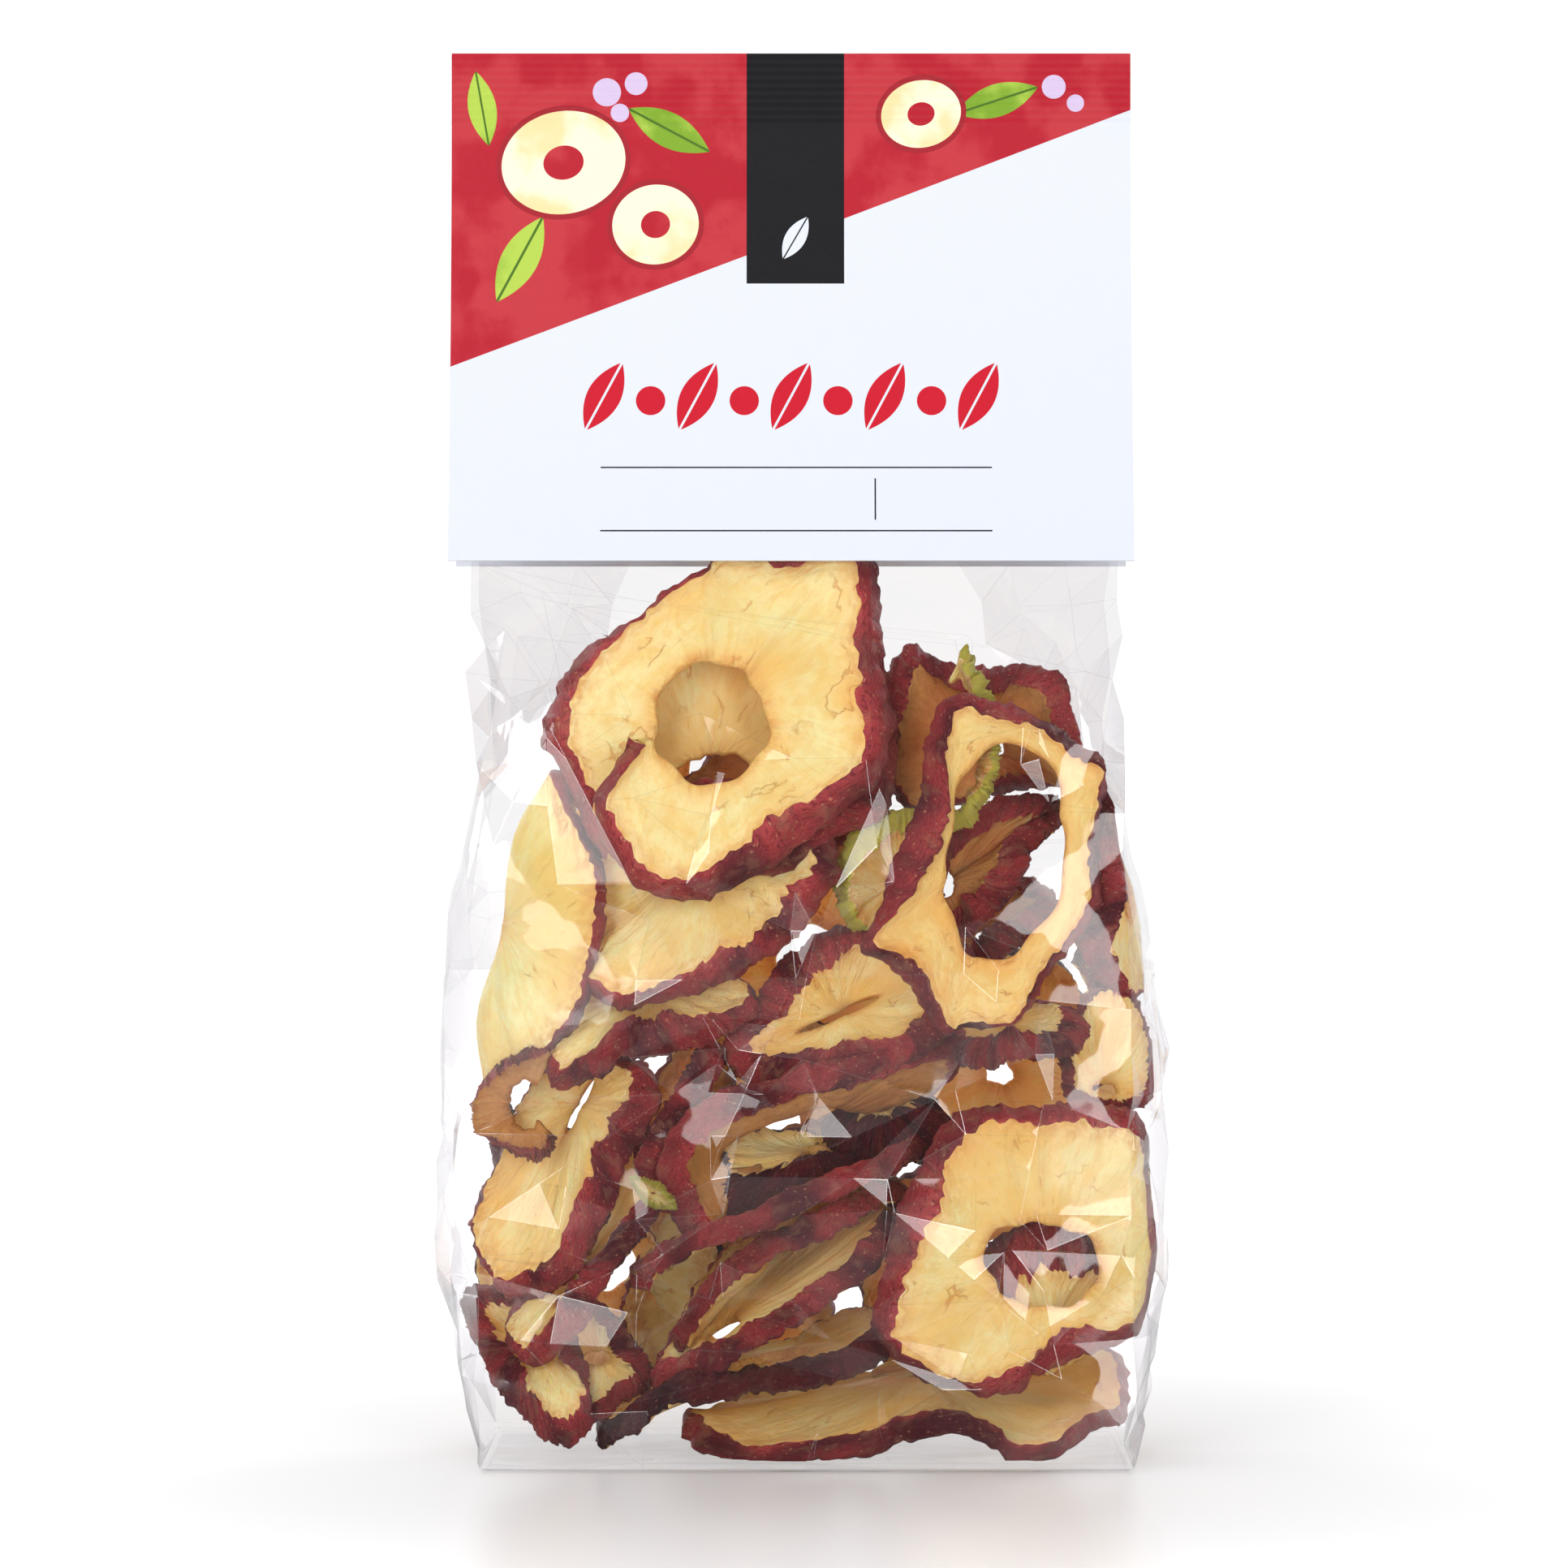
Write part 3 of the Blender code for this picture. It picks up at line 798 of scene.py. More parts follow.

# %% Slices of the upper right
# A tone other than cream, and the darker skin kind, are painted shade here too.
FRONT_SLICES |= {
    "right_wide_hole": dict(hole=(37.2, 110.8, 11.4, 21, -9, -23.5), tone="golden_painted_shade", thick=0.8, rim=[
        (54.3, 110.6, -25, 0.8), (55.8, 119.6, -24, 0.8), (57.6, 126.8, -22, 2), (52.5, 129.4, -22, 2.5),
        (47.6, 133.9, -22, 2.6), (39, 137.9, -23, 2.8), (28.5, 139.7, -23.5, 2.5),
        (25.5, 136.1, -24.5, 3.5), (23.3, 129.4, -26, 4.5), (21.9, 120.4, -27, 5), (19.2, 112.9, -28, 6),
        (15.3, 103.1, -28.5, 6), (10.5, 93.4, -28, 3), (15.3, 90.1, -27.5, 2.5), (21, 85.4, -27, 2.5),
        (25.7, 76.4, -25.5, 2), (30, 78.8, -25, 1), (39, 78.8, -24, 1), (45, 88.1, -25, 0.8),
        (51, 95.6, -26, 0.8), (53.6, 101.6, -26, 0.8)]),
    "right_behind": dict(hole=(33, 131, 5, 4, 0, -4), tone="brown_painted_shade", rim=[
        (53.5, 127.1, -15, 4), (51, 134.6, -16, 4), (47.5, 143.2, -15, 4), (37.5, 144.7, -9, 4),
        (26.3, 145.4, -8, 4), (18.8, 148.6, -8, 3.5), (15.3, 140.6, -8, 3), (14.3, 128.6, -7, 2.5),
        (18, 118.1, -5, 2), (30, 119.6, -3, 2), (40.5, 122.3, -2, 3), (51, 123.3, -3, 3)]),
    "green_strip": dict(torn=True, hole=(22.5, 130, 10.5, 16, 0, -16), skin="green", thick=0.9, rim=[
        (30, 149.5, -19, 4), (33.3, 142.9, -19.5, 5), (35.7, 136.1, -19.5, 5), (36.9, 128.6, -20, 5),
        (35.3, 122.6, -20, 5), (31.5, 118.1, -20, 4.6), (26.3, 115.1, -19.5, 4)]),
    "green_under": dict(hole=(18, 106, 3, 2, 0, -12), skin="green", rim=[
        (24, 115.1, -15, 3), (19.2, 118.4, -16, 3.5), (12.8, 115.9, -17, 3.5), (7.5, 110.3, -17, 2.5),
        (6, 103.1, -16, 1.5), (10.5, 95.6, -15, 1.5), (19.5, 98.6, -12, 1.5), (25, 106, -13, 1.5)]),
    "small_ring": dict(hole=(26.5, 104.6, 2, 3, 0, -9), tone="brown_painted_shade", rim=[
        (42.8, 113.6, -10, 5), (49.5, 120.4, -6, 5), (40.5, 121.1, -8, 5), (31.5, 117.4, -10, 5),
        (24.8, 110.6, -11, 4), (22.5, 101.6, -11, 3), (24, 95.6, -12, 4), (30.8, 96.4, -13, 5),
        (37.5, 101.6, -13, 5.5), (41.3, 108.4, -12, 5.5)]),
    "right_inner_low": dict(hole=(33, 95, 2, 1.5, 0, -3), tone="brown_painted_shade", rim=[
        (47.7, 101.6, -4, 5), (42, 106.1, -2, 4), (33.8, 103.1, 0, 2), (25.5, 95.6, 2, 2),
        (27, 88.1, -4, 3), (32.3, 88.9, -8, 5), (39, 93.4, -10, 6), (45, 97.1, -8, 6)]),
    "right_edge": dict(hole=(59, 105.4, 1.5, 8, 0, -12), thick=1.5, rim=[
        (65.5, 104.6, -2, 4.5), (64.3, 115.1, -2, 4.5), (61.5, 124.1, -4, 4), (58.5, 127.9, -10, 4),
        (55.2, 120.4, -20, 3.5), (54, 106.1, -22, 3.5), (53.7, 95.6, -22, 3.5), (54.8, 86.6, -19, 3.5),
        (58.5, 82.9, -12, 3), (62.7, 94.1, -4, 4)]),
    "right_middle": dict(hole=(55.5, 66.4, 3, 2, 0, -12), rim=[
        (64.8, 73.1, -12, 1.5), (63.3, 81.4, -12, 1.5), (58.5, 85.9, -13, 1.5), (51.8, 84.4, -14, 1),
        (48.8, 74.6, -14, 1), (49.5, 65.6, -14, 1), (57, 61.9, -13, 2), (63.8, 64.9, -12, 2)]),
    "veiled_curl": dict(hole=(37.5, 78.8, 3, 0.8, 5, -13), rim=[
        (52.8, 78.4, -20, 4), (49.5, 82.1, -16, 3), (39, 82.9, -8, 2), (28.5, 80.6, -8, 2),
        (26.3, 75.4, -14, 3), (31.5, 72.4, -20, 4), (40.5, 73.1, -22, 5), (49.5, 73.4, -23, 5)]),
}

# %% The stack and the lower left
# A tone other than cream, and the darker skin kind, are painted shade here too.
FRONT_SLICES |= {
    "stack_arch": dict(hole=(-3, 58.1, 14, 4, 20, -11), tone="brown_painted_shade", rim=[
        (29.3, 73.1, -12, 4.5), (26.3, 76.1, -18, 4.5), (18, 73.4, -23, 4.5), (9, 71.6, -26, 4.5),
        (0, 69.5, -27, 4.5), (-9, 67.1, -27, 4.5), (-16.5, 64.1, -26.5, 4.5), (-21.8, 59.3, -26, 4.5),
        (-25.5, 53.6, -25, 4.5), (-23.7, 44.6, -23, 4.5), (-21, 38.6, -20, 4.5), (-18, 44.6, -8, 4),
        (-7.5, 55.1, 2, 4), (7.5, 61.1, 4, 4), (22.5, 65.6, -2, 4)]),
    "stack_dark_left": dict(hole=(1.5, 54.4, 3, 1, 15, -10), skin="painted_shade", rim=[
        (16.5, 52.1, -10, 5), (1.5, 58.1, 0, 4), (-13.5, 58.1, -4, 4), (-21, 53.6, -12, 7),
        (-20.3, 46.9, -17, 9), (-13.5, 44.6, -19, 10), (-3, 46.9, -19, 9), (9, 50.6, -17, 8)]),
    "stack_dark_right": dict(hole=(15, 62.6, 2, 0.7, 15, -6), skin="painted_shade", rim=[
        (27.8, 62.6, -10, 8), (21, 66.4, -2, 5), (9, 64.1, -2, 5), (3, 58.1, -8, 6), (7.5, 54.4, -14, 9),
        (16.5, 53.9, -16, 10), (24, 55.9, -15, 10)]),
    "stack_second": dict(hole=(-6, 44.6, 8, 1.2, 24, -8), rim=[
        (21.8, 55.9, -18, 3), (19.5, 58.1, -4, 3), (4.5, 52.1, 8, 3), (-13.5, 43.1, 8, 3),
        (-28.5, 34.1, -2, 3), (-32.3, 31.1, -14, 3), (-27, 34.7, -23, 3.5), (-18, 39.2, -27, 3.5),
        (-9, 42.8, -28.5, 3.5), (1.5, 47, -28.5, 3.5), (12, 51.8, -27, 3.5)]),
    "stack_third": dict(hole=(-4, 37.5, 7, 1.2, 30, -6), rim=[
        (18, 49.1, -16, 3), (13.5, 50.6, 0, 3), (-1.5, 43.1, 8, 3), (-16.5, 32.6, 6, 3), (-24, 20.6, -6, 3),
        (-23.7, 19.9, -16, 3.5), (-19.5, 28.1, -24, 3.5), (-11.3, 35.2, -26.5, 3.5), (0, 40.7, -27, 3.5),
        (9.8, 44.9, -25, 3.5)]),
    "stack_fourth": dict(hole=(-14.5, 22, 4.2, 1.7, 30, -15), rim=[
        (16.5, 40.1, -20, 3), (18, 47.6, -8, 1), (7.5, 43.1, -2, 1), (-3, 36.4, 0, 1), (-13.5, 30.4, -2, 1),
        (-21, 22.1, -8, 2), (-28.5, 13.1, -18, 3.5), (-21, 14.3, -24, 4.5), (-13.5, 18.1, -26.5, 4.5),
        (-4.5, 22.9, -28, 4.5), (4.5, 29.3, -28, 4.5), (13.2, 34.7, -25, 4.5)]),
    "stack_foot": dict(hole=(-6, 16, 8, 1.2, 14, -8), skin="painted_shade", rim=[
        (18, 22.1, -18, 4), (13.5, 25.1, -4, 3), (-4.5, 19.1, 6, 3), (-22.5, 14.6, 2, 3),
        (-37.5, 7.1, -8, 3), (-38.3, 2.9, -20, 4), (-30, 7.4, -26, 5), (-24.6, 11.3, -27, 6),
        (-19.2, 10.7, -28, 6), (-9, 12.4, -28, 6), (3, 14.6, -27, 6), (13.5, 18.4, -24, 5.5)]),
    "left_middle": dict(hole=(-18.8, 56.6, 1.5, 4, 0, -12), tone="brown_painted_shade", rim=[
        (-13.5, 66, -4, 3), (-15.8, 75.4, -18, 3.5), (-21, 68.6, -22, 4.5), (-26.3, 61.1, -23, 4.5),
        (-29, 55.1, -23, 4.5), (-28.5, 49.1, -22, 4.5), (-24, 43.1, -18, 4), (-16.5, 46.1, -6, 3)]),
    "left_lower": dict(hole=(-41.1, 63.8, 6.6, 1, 62, -13), rim=[
        (-27.9, 67.3, -19, 4), (-31.5, 73.9, -15, 3), (-40.5, 73.9, -10, 1.5), (-49.5, 68.6, -10, 1),
        (-56.3, 55.1, -13, 1), (-59.7, 47.3, -15, 1), (-61.4, 41.5, -16, 1.2), (-60.3, 34.9, -17, 1.5),
        (-54.8, 29.3, -20, 2), (-45, 31.4, -23, 6), (-36.8, 44.3, -25, 7), (-32.9, 52.7, -24, 7),
        (-29, 59.9, -22, 6)]),
    "left_foot": dict(hole=(-48.8, 18.4, 4, 3, 0, -14), rim=[
        (-40.5, 13.1, -18, 3), (-45, 25.1, -14, 2), (-54, 30.4, -12, 3), (-62.6, 30.4, -10, 5),
        (-61.7, 23.5, -12, 6), (-59.3, 17.3, -14, 6), (-56.7, 12.4, -17, 6), (-52.5, 6.8, -21, 6),
        (-48.3, 3.4, -24, 5), (-43.2, 1.4, -26, 4), (-39, 6.4, -24, 3)]),
    "left_floor": dict(hole=(-43.5, 29.6, 4, 0.8, 55, -16), rim=[
        (-26.7, 48.4, -18, 4.5), (-28.5, 55.9, -16, 2), (-33, 53.6, -14, 1), (-43.5, 34.1, -16, 1),
        (-52.5, 28.1, -17, 1), (-55.2, 22.1, -18, 1), (-51, 16.4, -20, 2.5), (-45, 20.6, -23, 5),
        (-37.5, 32.6, -24.5, 5.5), (-31.5, 40.1, -23, 5.5)]),
    "left_base": dict(hole=(-38, 17, 3, 2, 0, -12), rim=[
        (-28.5, 14.6, -16, 3), (-36, 26.6, -10, 3), (-43.5, 28.1, -8, 3), (-46.5, 20.6, -10, 1.5),
        (-45, 11.6, -15, 1), (-40.5, 6.4, -19, 1), (-33, 10.1, -20, 1.5)]),
    "chip": dict(hole=(-27.8, 47.6, 0.6, 0.4, 0, -27.5), skin="green", thick=0.4, rim=[
        (-22.8, 44.6, -28, 2), (-26.3, 49.1, -28, 0.5), (-31.8, 50.6, -28, 0.6), (-28.5, 45.8, -28, 0.6)]),
}

# %% [markdown]
# The slices behind
#
# Behind them and at the sides the bag is filled with slices that are not laid out one by one. Each is a ring
# with a few corners and waves drawn at random from its own seed, leaned and turned to face the back panel or
# a side. They are placed so that light still falls through the bag here and there.

# %% Slices by the back panel
BACK_SLICES = {
    "back_top": dict(at=(-14.0, 6.0, 126.0), size=26.0, hole=8.5, lean=-14, turn=180),
    "back_left": dict(at=(-33.0, 16.0, 96.0), size=23.0, hole=7.0, lean=4, turn=170),
    "back_centre": dict(at=(2.0, 21.0, 89.0), size=25.0, hole=8.0, lean=-5, turn=184),
    "back_right": dict(at=(37.0, 17.0, 69.0), size=24.0, hole=3.2, lean=6, turn=196),
    "back_middle": dict(at=(-9.0, 14.0, 53.0), size=27.0, hole=11.5, lean=4, turn=176),
    "back_low_right": dict(at=(36.0, 20.0, 31.0), size=26.0, hole=8.0, lean=-4, turn=182),
    "back_low_left": dict(at=(-38.0, 19.0, 34.0), size=24.0, hole=7.0, lean=3, turn=172),
    "back_foot": dict(at=(-13.0, 23.0, 25.0), size=20.0, hole=8.0, lean=5, turn=188),
    "left_side": dict(at=(-49.0, 15.0, 84.0), size=14.0, hole=4.5, lean=4, turn=-104),
    "left_side_low": dict(at=(-54.0, 13.0, 46.0), size=17.0, hole=5.0, lean=-6, turn=-96),
    "right_side": dict(at=(56.0, 15.0, 80.0), size=14.0, hole=4.5, lean=5, turn=98),
    "right_side_low": dict(at=(57.0, 14.0, 40.0), size=16.0, hole=5.0, lean=-4, turn=96),
}
RIM_PLACES = 11
OUT_OF_ROUND = 0.13
IN_AND_OUT = (-1.0, 0.6)
WAVED = 0.16
FINER_WAVE = 0.6
BACK_BAND = (2.5, 5.5)
# Every third slice behind gets the darker skin kind, as painted shade.
BACK_SKINS = ("red", "painted_shade", "red")


def back_outlines(number, at, size, hole, lean, turn):
    """The rim, core and band of a slice with random corners and waves, leaned, turned and in its place."""
    dice = np.random.default_rng(number)
    angles = np.arange(RIM_PLACES) * math.tau / RIM_PLACES
    reach = size * (1.0 + OUT_OF_ROUND * dice.uniform(*IN_AND_OUT, RIM_PLACES))
    starts = [dice.uniform(0.0, math.tau) for _ in range(2)]
    waves = np.cos(2.0 * angles + starts[0]) + FINER_WAVE * np.cos(3.0 * angles + starts[1])
    depth = WAVED * size * waves
    band = dice.uniform(*BACK_BAND, RIM_PLACES)
    rows = np.stack([reach * np.cos(angles), depth, reach * np.sin(angles), band], axis=1)
    run = smooth_run(rows, RINGS, False)
    core = run[:, :3] * (hole / size) * (1.0 + wander(number, CORE_UNEVEN))[:, None]
    facing = Matrix.Rotation(math.radians(turn), 3, "Z") @ Matrix.Rotation(math.radians(-lean), 3, "X")
    facing = np.array(facing).T
    return run[:, :3] @ facing + at, core @ facing + at, run[:, 3]


# %% Make them all
FILM_CLEARANCE = 1.6 * MM

bag_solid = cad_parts["bag"]
inside_form = add_copy("inside_form", bag_solid.data)


def press_inside(piece):
    """Keeps a slice inside the film, as the film does."""
    press = piece.modifiers.new("film", "SHRINKWRAP")
    press.target = inside_form
    press.wrap_method = "NEAREST_SURFACEPOINT"
    press.wrap_mode = "INSIDE"
    press.offset = FILM_CLEARANCE
    pick(piece)
    bpy.ops.object.modifier_apply(modifier="film")


def dry_slice(name, number, rim, core, band, dome=0.0, thick=1.0, torn=False, skin="red", tone="cream"):
    """One finished slice: a copy of the flat one, laid to its outlines, shrivelled and kept in the film."""
    piece = add_copy(f"slice_{name}", FLAT[torn].data)
    remember(piece, number, FLESH[tone], SKINS[skin])
    lay_between(piece, number, rim, core, band, dome, thick, torn)
    displace(piece, number, WAVE_SIZE, WAVE_PUSH * thick, "rim")
    displace(piece, number, WRINKLE_SIZE, WRINKLE_PUSH * thick, "skin")
    press_inside(piece)
    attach(piece, "root")
    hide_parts("bag")
    return piece


slices = []
for name, facts in FRONT_SLICES.items():
    number = len(slices) + 1
    shape = outlines(number, facts.pop("rim"), facts.pop("hole"), facts.get("torn", False))
    slices.append(dry_slice(name, number, *shape, **facts))
for name, facts in BACK_SLICES.items():
    number = len(slices) + 1
    slices.append(dry_slice(name, number, *back_outlines(number, **facts), skin=BACK_SKINS[number % 3]))
for flat_slice in FLAT.values():
    bpy.data.objects.remove(flat_slice)
bpy.data.objects.remove(inside_form)
print(len(slices), "slices,", sum(len(piece.data.polygons) for piece in slices), "faces")

# %% [markdown]
# The film
#
# Cellophane creases in straight lines, and between them it stays flat, so it mirrors the studio in patches
# with crisp edges. The film starts from the plain bag solid, merged and quadrangulated, because it has to
# keep that form: the gussets, the corners and the flat base. Its points are shaken sideways and slid back on
# to the form, so that no grid shows. Long creases are cut across it and pushed in or out, all points are
# then moved a little in or out, and nearly flat neighbours are joined. What is left is a skin of uneven flat
# patches. A fine bevel with a material of its own rounds each crease, and that is where the thin bright
# lines come from.

# %% Crease the film
CARD_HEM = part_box("header_card")[0].z
BASE_KEPT = 2.0 * MM
NECK_KEPT = CARD_HEM - 5.0 * MM
SHAKE = 3.4 * MM
CRUMPLE = 0.85 * MM
SHAKE_SEED = 5
CRUMPLE_SEED = 11
SHAKEN_ALIKE = 0.2
MERGED_WITHIN = 0.01 * MM
QUAD_WITHIN = math.radians(40.0)
FLAT_ENOUGH = math.radians(10.0)
FACES_OUT_FROM = 0.75
PANEL_HALF_WIDTH = 59.0 * MM
CORNER_REACH = 0.9 * MM
CREASE_ROUNDING = 0.15 * MM
CREASE_FROM = math.radians(9.0)

# Each panel's creases: the middle in mm across and up, the reach, the slope and the depth.
CREASES = {
    "front": [
        (-46.0, 36.0, 20.0, 1.0, -0.9), (46.0, 39.0, 24.0, -2.0, -1.0), (-22.0, 44.0, 30.0, 58.0, 0.8),
        (-35.0, 60.0, 34.0, 34.0, -0.8), (12.0, 50.0, 36.0, -40.0, 0.8), (22.0, 66.0, 30.0, 24.0, -0.9),
        (40.0, 52.0, 26.0, 78.0, 0.7), (-8.0, 28.0, 34.0, -18.0, -0.8), (30.0, 18.0, 30.0, 30.0, 0.8),
        (-44.0, 16.0, 22.0, -46.0, -0.8), (0.0, 92.0, 40.0, 66.0, 0.7), (36.0, 100.0, 34.0, 84.0, -0.9),
        (-30.0, 104.0, 36.0, -62.0, 0.8), (-14.0, 130.0, 30.0, 74.0, -0.7),
        (40.0, 134.0, 26.0, -58.0, 0.7), (-48.0, 128.0, 26.0, 64.0, 0.7),
    ],
    "back": [
        (-30.0, 40.0, 36.0, 30.0, -0.8), (26.0, 56.0, 38.0, -36.0, 0.8), (0.0, 86.0, 40.0, 62.0, -0.8),
        (38.0, 104.0, 32.0, 78.0, 0.7), (-40.0, 108.0, 34.0, -66.0, -0.7), (8.0, 24.0, 40.0, 12.0, 0.8),
    ],
    "left": [
        (0.0, 46.0, 34.0, 38.0, -0.8), (4.0, 84.0, 34.0, -48.0, 0.8), (-6.0, 22.0, 26.0, -28.0, 0.7),
    ],
    "right": [
        (0.0, 40.0, 34.0, -36.0, -0.8), (-4.0, 80.0, 34.0, 44.0, 0.8), (5.0, 20.0, 26.0, 26.0, 0.7),
    ],
}
PANELS = {
    "front": (Vector((0.0, -1.0, 0.0)), Vector((1.0, 0.0, 0.0))),
    "back": (Vector((0.0, 1.0, 0.0)), Vector((-1.0, 0.0, 0.0))),
    "left": (Vector((-1.0, 0.0, 0.0)), Vector((0.0, -1.0, 0.0))),
    "right": (Vector((1.0, 0.0, 0.0)), Vector((0.0, 1.0, 0.0))),
}


def free_film(point):
    """Whether a point of the film may move: not at its base, and not in the neck that the card holds."""
    return BASE_KEPT < point.z < NECK_KEPT


def select_points(piece, wanted):
    """Selects the points that a rule wants, ready for edit mode."""
    pick(piece)
    bpy.ops.object.mode_set(mode="EDIT")
    bpy.ops.mesh.select_mode(type="VERT")
    bpy.ops.mesh.select_all(action="DESELECT")
    bpy.ops.object.mode_set(mode="OBJECT")
    for vertex in piece.data.vertices:
        vertex.select = wanted(vertex.co)
    bpy.ops.object.mode_set(mode="EDIT")


def crease(piece, panel, across, up, reach, slope, depth):
    """Cuts one straight crease across a part of a panel, and pushes its edge in or out."""
    normal, sideways = PANELS[panel]
    middle = sideways * across * MM + Vector((0.0, 0.0, up * MM))
    pick(piece)
    bpy.ops.object.mode_set(mode="EDIT")
    bpy.ops.mesh.select_mode(type="FACE")
    bpy.ops.mesh.select_all(action="DESELECT")
    bpy.ops.object.mode_set(mode="OBJECT")
    for face in piece.data.polygons:
        offset = face.center - middle
        offset -= normal * offset.dot(normal)
        faces_out = face.normal.dot(normal) > FACES_OUT_FROM
        face.select = faces_out and offset.length < reach * MM and free_film(face.center)
    if not any(face.select for face in piece.data.polygons):
        return
    angle = math.radians(slope)
    line = sideways * math.cos(angle) + Vector((0.0, 0.0, math.sin(angle)))
    bpy.ops.object.mode_set(mode="EDIT")
    bpy.ops.mesh.bisect(plane_co=middle, plane_no=line.cross(normal))
    bpy.ops.transform.translate(value=normal * depth * MM)
    bpy.ops.object.mode_set(mode="OBJECT")


def slide_on_to(piece, form):
    """Slides every point back on to the nearest place of a form."""
    slide = piece.modifiers.new("slide", "SHRINKWRAP")
    slide.target = form
    slide.wrap_method = "NEAREST_SURFACEPOINT"
    pick(piece)
    bpy.ops.object.modifier_apply(modifier="slide")


def on_corner(point):
    """Whether a point lies on an edge between a panel and a gusset."""
    return abs(abs(point.x) - PANEL_HALF_WIDTH) < CORNER_REACH


def make_film(flat_film, folded_film):
    """The bag of film: its panels in one material, and the rounded edge of each crease in another."""
    film = add_copy("film_bag", bag_solid.data)
    film.data.materials.clear()
    film.data.materials.append(flat_film)
    film.data.materials.append(folded_film)
    pick(film)
    bpy.ops.object.mode_set(mode="EDIT")
    bpy.ops.mesh.select_all(action="SELECT")
    bpy.ops.mesh.remove_doubles(threshold=MERGED_WITHIN)
    bpy.ops.mesh.tris_convert_to_quads(face_threshold=QUAD_WITHIN, shape_threshold=QUAD_WITHIN)
    bpy.ops.object.mode_set(mode="OBJECT")
    form = add_copy("film_form", film.data)
    print("film starts with", len(film.data.vertices), "points")

    select_points(film, lambda point: free_film(point) and not on_corner(point))
    bpy.ops.transform.vertex_random(
        offset=SHAKE, uniform=SHAKEN_ALIKE, normal=0.0, seed=SHAKE_SEED, wait_for_input=False
    )
    bpy.ops.object.mode_set(mode="OBJECT")
    slide_on_to(film, form)
    for panel, rows in CREASES.items():
        for facts in rows:
            crease(film, panel, *facts)
    select_points(film, free_film)
    bpy.ops.transform.vertex_random(
        offset=CRUMPLE, uniform=0.0, normal=1.0, seed=CRUMPLE_SEED, wait_for_input=False
    )
    bpy.ops.mesh.select_mode(type="FACE")
    bpy.ops.mesh.select_all(action="SELECT")
    bpy.ops.mesh.quads_convert_to_tris(quad_method="BEAUTY", ngon_method="BEAUTY")
    bpy.ops.mesh.dissolve_limited(angle_limit=FLAT_ENOUGH, use_dissolve_boundaries=False)
    bpy.ops.mesh.select_all(action="SELECT")
    bpy.ops.mesh.quads_convert_to_tris(quad_method="BEAUTY", ngon_method="BEAUTY")
    bpy.ops.mesh.normals_make_consistent(inside=False)
    bpy.ops.object.mode_set(mode="OBJECT")
    print("film has", len(film.data.polygons), "flat patches")

    rounding = film.modifiers.new("crease rounding", "BEVEL")
    rounding.width = CREASE_ROUNDING
    rounding.segments = 2
    rounding.limit_method = "ANGLE"
    rounding.angle_limit = CREASE_FROM
    rounding.harden_normals = True
    rounding.use_clamp_overlap = True
    rounding.material = 1
    pick(film)
    bpy.ops.object.shade_smooth()
    bpy.ops.object.modifier_apply(modifier="crease rounding")
    bpy.data.objects.remove(form)
    return film


# %% [markdown]
# What film looks like
#
# Film is almost invisible face-on, and mirrors strongly and looks greyer edge-on. A Transparent BSDF and a
# Glossy BSDF, mixed by how far the surface turns away, give that without a ray being bent twice at every
# layer. A thin cloudy part is added where the film is scuffed, since real packing film is never quite clear.
# On its way to a light a ray passes more easily, so that the film doesn't darken what lies in the bag.
# A crease is the same film, folded sharply, so it mirrors more and lets less through: it has the same nodes
# with other values.

# %% Film material
RIPPLE_FINENESS = 55.0
RIPPLE_BUMP = 0.35
RIPPLE_DEPTH = 1.6 * MM
MIRRORS_EDGE_ON = 0.75
EDGE_ON_POWER = 4.0
TINT_FROM = 0.30
TINT_FULL = 0.95
MIRRORED_FROM_A_LIGHT = 0.3
FILM_ROUGHNESS = 0.045
LIGHT_LET_IN, MIRROR_WHITE, CLOUDY_WHITE = opaque((0.98, 0.98, 0.98), (1.0, 1.0, 1.0), (0.93, 0.93, 0.96))


